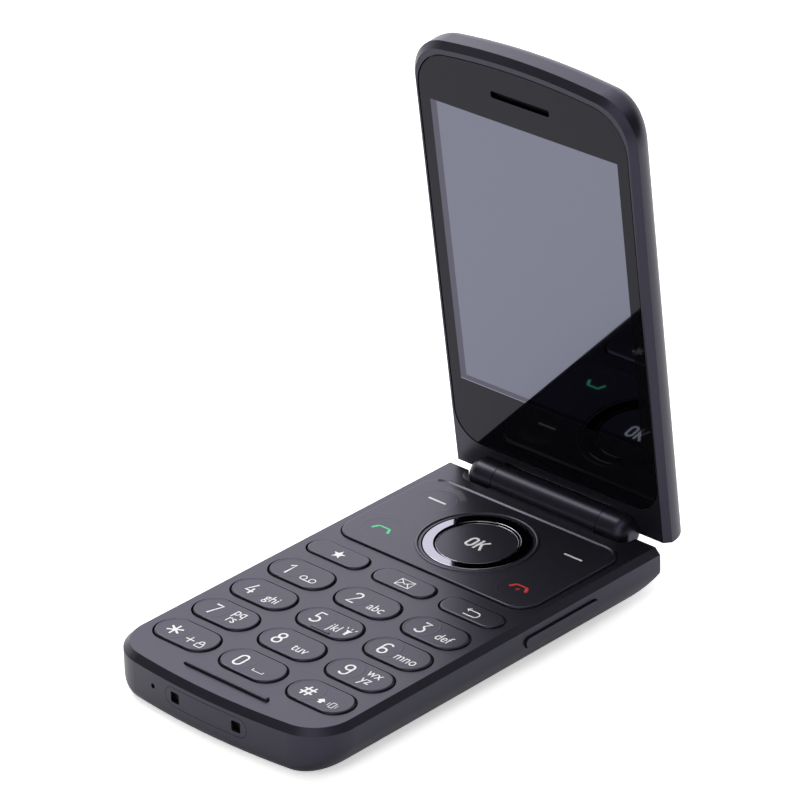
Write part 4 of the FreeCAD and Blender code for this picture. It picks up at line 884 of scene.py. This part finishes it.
class PHONE_OT_legends(bpy.types.Operator):
    """Prints the digits, letters and signs on the keys"""
    bl_idname = "phone.legends"
    bl_label = "Legends"

    def execute(self, context):
        finish = context.scene.phone_finish
        keypad = context.scene.phone_keypad
        self.ink = mm(keypad.ink)
        self.white = printed("ink_white", finish.legend)
        self.top = mm(keypad.key_height) + self.ink / 2
        self.digits(mm(keypad.digit_height) / DIGIT_DRAWN)
        self.letters(mm(keypad.letter_height))
        self.number_signs()
        self.function_signs()
        self.corner_signs(printed("ink_green", finish.call, 0.3), printed("ink_red", finish.end, 0.3))
        self.ok_letters()
        return {"FINISHED"}

    def hand_over(self, parts, name, body, colour=None):
        """Joins the parts of a sign and settles it on its key."""
        settle(joined(parts), name, body, colour or self.white, rounded=0)

    def on_key(self, column, row, place):
        """Place on top of a key, counted from the key's middle."""
        return column + place[0], row + place[1], self.top

    def line(self, points, width, place, closed=False):
        """Printed line, its points counted from a place."""
        return stroke(points, width, self.ink, closed, place)

    def shape(self, points, place):
        """Printed shape, its corners counted from a place."""
        return filled(points, self.ink, place)

    def digits(self, size):
        """Digits and signs on the finger rests, most of them a little to the lower right."""
        height = self.top - REST_DEPTH + self.ink / 2
        for row, names in zip(ROWS, NUMBER_KEYS):
            for column, name in zip(COLUMNS, names):
                nudge = 0.0 if name in ("5", "8") else DIGIT_NUDGE
                place = (column + DIGIT_PLACE + nudge, row - nudge, height)
                parts = [self.line(resized(points, size), DIGIT_LINE * size, place, closed)
                         for points, closed in DIGIT_LINES[name]]
                self.hand_over(parts, "digit_" + name, "key_" + name)

    def text(self, letters, height, place):
        return centred(words(letters, height, LETTER_SQUEEZE, self.ink), *place)

    def letters(self, height):
        """Small letters beside the digits, and the torch sign beside those of the middle key."""
        for row, names in zip(ROWS, NUMBER_KEYS):
            for column, name in zip(COLUMNS, names):
                parts = []
                if name in LETTERS:
                    place = self.on_key(column, row, LETTER_PLACES.get(name, LETTER_PLACE))
                    parts.append(self.text(LETTERS[name], height, place))
                if name == "5":
                    parts += self.torch(self.on_key(column, row, TORCH_PLACE))
                for letters, place in zip(LETTER_PAIRS.get(name, ()), PAIR_PLACES):
                    parts.append(self.text(letters, height, self.on_key(column, row, place)))
                if parts:
                    self.hand_over(parts, "letters_" + name, "key_" + name)

    def torch(self, place):
        """Torch with three rays."""
        body = [(-0.25, -1.1), (0.25, -1.1), (0.35, 0.1), (0.75, 0.6), (-0.75, 0.6), (-0.35, 0.1)]
        rays = [self.line([(across, 1.0), (across + lean, 1.5)], 0.22, place)
                for across, lean in ((-0.85, -0.3), (0.0, 0.0), (0.85, 0.3))]
        return [self.shape(body, place)] + rays

    def number_signs(self):
        """Voicemail, lock, space and mode signs."""
        left, middle, right = COLUMNS
        place = self.on_key(left, ROWS[0], VOICEMAIL_PLACE)
        loops = [self.line(arc(x, 0, 0.65, 0, 360, 24), 0.25, place, True) for x in (-1.08, 1.08)]
        loops.append(self.line([(-1.08, -0.65), (1.08, -0.65)], 0.25, place))
        self.hand_over(loops, "voicemail_sign", "key_1")
        self.hand_over(self.plus(left) + self.padlock(left), "lock_sign", "key_star")
        corners = [(-1.2, 0.3), (-1.2, -0.3), (1.2, -0.3), (1.2, 0.3)]
        space = self.line(corners, 0.26, self.on_key(middle, ROWS[3], SPACE_PLACE))
        self.hand_over([space], "space_sign", "key_0")
        self.hand_over(self.shift_arrow(right) + self.buzzing_phone(right), "mode_signs", "key_hash")

    def plus(self, column):
        place = self.on_key(column, ROWS[3], PLUS_PLACE)
        return [self.line([(-1.0, 0), (1.0, 0)], 0.28, place), self.line([(0, -1.0), (0, 1.0)], 0.28, place)]

    def padlock(self, column):
        place = self.on_key(column, ROWS[3], LOCK_PLACE)
        bow = [(-0.45, 0.5)] + arc(0, 0.9, 0.45, 180, 0) + [(0.45, 0.5)]
        return [self.line([(-0.75, -0.6), (0.75, -0.6), (0.75, 0.5), (-0.75, 0.5)], 0.3, place, True),
                self.line(bow, 0.26, place)]

    def shift_arrow(self, column):
        arrow = [(-0.4, -0.8), (0.4, -0.8), (0.4, -0.1), (0.9, -0.1), (0, 0.8), (-0.9, -0.1), (-0.4, -0.1)]
        return [self.shape(arrow, self.on_key(column, ROWS[3], SHIFT_PLACE))]

    def buzzing_phone(self, column):
        x, y, top = self.on_key(column, ROWS[3], BUZZ_PLACE)
        phone = self.line([(-0.42, -0.8), (0.42, -0.8), (0.42, 0.8), (-0.42, 0.8)], 0.24, (x, y, top), True)
        waves = [self.line([(0, -0.5), (0, 0.5)], 0.16, (x + side, y, top)) for side in (-0.95, 0.95)]
        return [phone] + waves

    def function_signs(self):
        """Star, envelope and bent arrow."""
        favourite, message, back = [self.on_key(column, FUNCTION_ROW, place)
                                    for column, place in zip(COLUMNS, FUNCTION_PLACES)]
        star = [arc(0, 0, 1.45 if step % 2 == 0 else 0.6, 90 + 36 * step, 90 + 36 * step, 1)[0]
                for step in range(10)]
        self.hand_over([self.shape(star, favourite)], "favourite_sign", "key_favourite")
        lines = [([(-1.65, -1.15), (1.65, -1.15), (1.65, 1.15), (-1.65, 1.15)], True),
                 ([(-1.65, 1.15), (0, -0.25), (1.65, 1.15)], False),
                 ([(-1.65, -1.15), (-0.5, 0.15)], False), ([(1.65, -1.15), (0.5, 0.15)], False)]
        envelope = [self.line(points, 0.27, message, closed) for points, closed in lines]
        self.hand_over(envelope, "message_sign", "key_message")
        bend = [(-1.6, 0.6), (0.85, 0.6)] + arc(0.85, -0.25, 0.85, 90, -90) + [(-1.4, -1.1)]
        arrow = [self.line(bend, 0.3, back), self.line([(-1.0, 1.1), (-1.6, 0.6), (-1.0, 0.1)], 0.3, back)]
        self.hand_over(arrow, "back_sign", "key_back")

    def handset(self, place, size):
        """Receiver lying on its back, its ends bent forward."""
        bar = [(-1.55, 0.45), (-1.1, 0.68), (1.1, 0.68), (1.55, 0.45)]
        parts = [self.line(resized(bar, size), 0.46 * size, place)]
        for side in (-1, 1):
            end = [(side * 1.35, 0.45), (side * 1.6, 0.1), (side * 2.0, -0.75)]
            parts.append(self.line(resized(end, size), 0.66 * size, place))
        return parts

    def corner_signs(self, green, red):
        """Dashes of the two soft keys, and the call and end signs."""
        height = PLATE_TOP - CORNER_REST_DEPTH + self.ink / 2
        for name, place in DASH_PLACES.items():
            dash = self.line([(-2.15, 0), (2.15, 0)], 0.5, (*place, height))
            self.hand_over([dash], "soft_key_dash_" + name, "nav_plate")
        self.hand_over(self.handset((*CALL_PLACE, height), 1.0), "call_sign", "nav_plate", green)
        end = self.handset((*END_PLACE, height), 0.98)
        end.append(self.line(arc(0, -0.7, 0.3, 0, 360, 16), 0.14, (*END_PLACE, height), True))
        self.hand_over(end, "end_sign", "nav_plate", red)

    def ok_letters(self):
        place = (*OK_PLACE, OK_TOP + self.ink / 2)
        ring = arc(-1.15, 0.72, 0.72, 0, 180) + arc(-1.15, -0.72, 0.72, 180, 360)
        parts = [self.line(ring, 0.56, place, True), self.line([(0.45, 1.68), (0.45, -1.68)], 0.56, place),
                 self.line([(1.95, 1.68), (0.5, -0.2)], 0.54, place),
                 self.line([(0.95, 0.4), (2.05, -1.68)], 0.56, place)]
        self.hand_over(parts, "ok_letters", "ok_button")


class PHONE_OT_pane(bpy.types.Operator):
    """Gives the inner pane its black border and the grey window of the display, with a painted shade margin along
    the window's left side and foot and a painted highlight line along its foot
    """
    bl_idname = "phone.pane"
    bl_label = "Inner pane"

    def execute(self, context):
        paint = Paint("inner_pane")
        lid_turned = paint.node("ShaderNodeMapping", {"vector_type": "TEXTURE"}, {
            "Vector": paint.place, "Location": tuple(AXIS), "Rotation": (LID_TURN, 0, 0)})
        across, along = paint.outputs(
            paint.node("ShaderNodeSeparateXYZ", None, {"Vector": lid_turned}), "X", "Y")
        window = self.area(across, along, -WINDOW_HALF, WINDOW_HALF, WINDOW_FOOT, WINDOW_HEAD)
        display = self.area(across, along, UNSHADED_LEFT, WINDOW_HALF, UNSHADED_FOOT, WINDOW_HEAD)
        # A painted highlight: a thin bright band along the foot of the window
        line = along.within(WINDOW_FOOT * MM, (WINDOW_FOOT + PAINTED_HIGHLIGHT_WIDTH) * MM)
        wide = paint.noise(0.02)
        # The darker glass colour is painted shade in the margin along the window's left side and foot. The
        # brightest colour is the painted highlight along the foot
        black = (0.003, 0.003, 0.004)
        painted_shade = (0.107, 0.102, 0.131)
        grey = (0.182, 0.189, 0.241)
        bright = (0.29, 0.29, 0.37)
        glass = paint.mix(line, paint.mix(display, painted_shade, grey), bright)
        pane = paint.finish({
            "Base Color": paint.mix(window, black, glass),
            "Metallic": window, "Roughness": 0.02 + 0.02 * wide,
            "Specular IOR Level": 0.28, "Specular Tint": (0.76, 0.73, 1.0, 1)})
        dress("lens_pane", pane)
        return {"FINISHED"}

    def area(self, across, along, left, right, foot, head):
        """1 inside a rectangle on the lid and 0 outside it."""
        return across.within(left * MM, right * MM) * along.within(foot * MM, head * MM)


class PHONE_OT_studio(bpy.types.Operator):
    """Adds the floor, the lights and the camera"""
    bl_idname = "phone.studio"
    bl_label = "Studio"

    def execute(self, context):
        studio = context.scene.phone_studio
        self.add_floor(studio)
        self.add_cards()
        self.add_lamp("soft_lamp", *SOFT_LAMP, studio.softbox)
        self.add_lamp("small_lamp", *SMALL_LAMP, studio.small_lamp)
        self.add_sky(context, studio.light)
        self.add_camera(context, studio.lens)
        context.scene.view_settings.view_transform = "Standard"
        return {"FINISHED"}

    def add_floor(self, studio):
        """Lays a round white floor just under the phone, lifted where the camera or the gloss sees it."""
        floor = fresh(bpy.ops.mesh.primitive_circle_add, vertices=64, radius=studio.floor_size,
                      fill_type="NGON", location=(0, 0, -FLOOR_DROP))
        floor.name = "floor"
        bpy.ops.object.transform_apply(location=True)
        paint = Paint("floor_white")
        body = paint.node("ShaderNodeBsdfDiffuse", None, {"Color": colour4(studio.floor)})
        camera, gloss = paint.seen()
        lift = paint.node("ShaderNodeEmission", None, {
            "Color": (1, 1, 1, 1), "Strength": studio.lift * camera + studio.gloss_lift * gloss})
        floor.data.materials.append(paint.end(paint.node("ShaderNodeAddShader", None, {0: body, 1: lift})))

    def add_cards(self):
        """Sets dark cards overhead, in front and to the right, which only the gloss and the light see."""
        paint = Paint("flag_cloth")
        cloth = paint.end(paint.node("ShaderNodeBsdfDiffuse", None, {"Color": (0.02, 0.02, 0.02, 1)}))
        for name, middle, turn, size in CARDS:
            card = fresh(bpy.ops.mesh.primitive_plane_add, size=1)
            card.name = name
            card.scale = (*size, 1)
            card.rotation_euler = [math.radians(angle) for angle in turn]
            card.location = middle
            bpy.ops.object.transform_apply(location=True, rotation=True, scale=True)
            card.data.materials.append(cloth)
            card.visible_camera = False

    def add_lamp(self, name, middle, size, colour, power):
        """Hangs a soft square lamp that looks at the phone, and that only the gloss and the light see."""
        bpy.ops.object.light_add(type="AREA", location=middle)
        lamp = bpy.context.object
        lamp.name = name
        lamp.rotation_euler = (-Vector(middle)).to_track_quat("-Z", "Y").to_euler()
        lamp.data.size = size
        lamp.data.energy = power
        lamp.data.color = colour
        lamp.visible_camera = False

    def add_sky(self, context, level):
        """Lights everything evenly from white, which the camera and the gloss see as plain white.

        Two mirrors that stand across each other, as the pane and the keypad do, pass on little light,
        because each holds back what the other has left of it.
        """
        paint = Paint("studio_light", "worlds")
        camera, gloss = paint.seen()
        held_back = 0.93 * paint.mirrored_twice()
        strength = (level + (1.0 - level) * (camera + gloss)) * (1.0 - held_back)
        context.scene.world = paint.end(paint.node("ShaderNodeBackground", None, {
            "Color": (1, 1, 1, 1), "Strength": strength}))

    def add_camera(self, context, lens):
        """Sets the camera at the photograph's viewing angle."""
        place = Vector((553.237, -614.903, 447.291))
        right = Vector((0.729061, 0.683974, -0.025499))
        down = Vector((0.296346, -0.349024, -0.889023))
        ahead = Vector((-0.616968, 0.640595, -0.457152))
        turn = Matrix((right, -down, -ahead)).transposed().to_4x4()
        bpy.ops.object.camera_add()
        camera = context.object
        camera.name = "camera"
        camera.matrix_world = Matrix.Translation(AXIS + place * MM) @ turn
        camera.data.sensor_width = 36
        camera.data.lens = lens
        camera.data.clip_start = 0.01
        camera.data.clip_end = 50
        context.scene.camera = camera


class PHONE_PT_dressing(bpy.types.Panel):
    """Lists the steps of the dressing"""
    bl_label = "Phone"
    bl_idname = "PHONE_PT_dressing"
    bl_space_type = "VIEW_3D"
    bl_region_type = "UI"
    bl_category = "Phone"

    def draw(self, context):
        for step in STEPS:
            self.layout.operator(step.bl_idname)


STEPS = (PHONE_OT_finishes, PHONE_OT_keys, PHONE_OT_navigation, PHONE_OT_rubber, PHONE_OT_legends,
         PHONE_OT_pane, PHONE_OT_studio)
CLASSES = (PhoneFinish, PhoneKeypad, PhoneStudio) + STEPS + (PHONE_PT_dressing,)


def register():
    for each in CLASSES:
        bpy.utils.register_class(each)
    bpy.types.Scene.phone_finish = bpy.props.PointerProperty(type=PhoneFinish)
    bpy.types.Scene.phone_keypad = bpy.props.PointerProperty(type=PhoneKeypad)
    bpy.types.Scene.phone_studio = bpy.props.PointerProperty(type=PhoneStudio)


def unregister():
    del bpy.types.Scene.phone_studio
    del bpy.types.Scene.phone_keypad
    del bpy.types.Scene.phone_finish
    for each in reversed(CLASSES):
        bpy.utils.unregister_class(each)


def main():
    register()
    bpy.ops.phone.finishes()
    bpy.ops.phone.keys()
    bpy.ops.phone.navigation()
    bpy.ops.phone.rubber()
    bpy.ops.phone.legends()
    bpy.ops.phone.pane()
    bpy.ops.phone.studio()


if __name__ == "__main__":
    main()
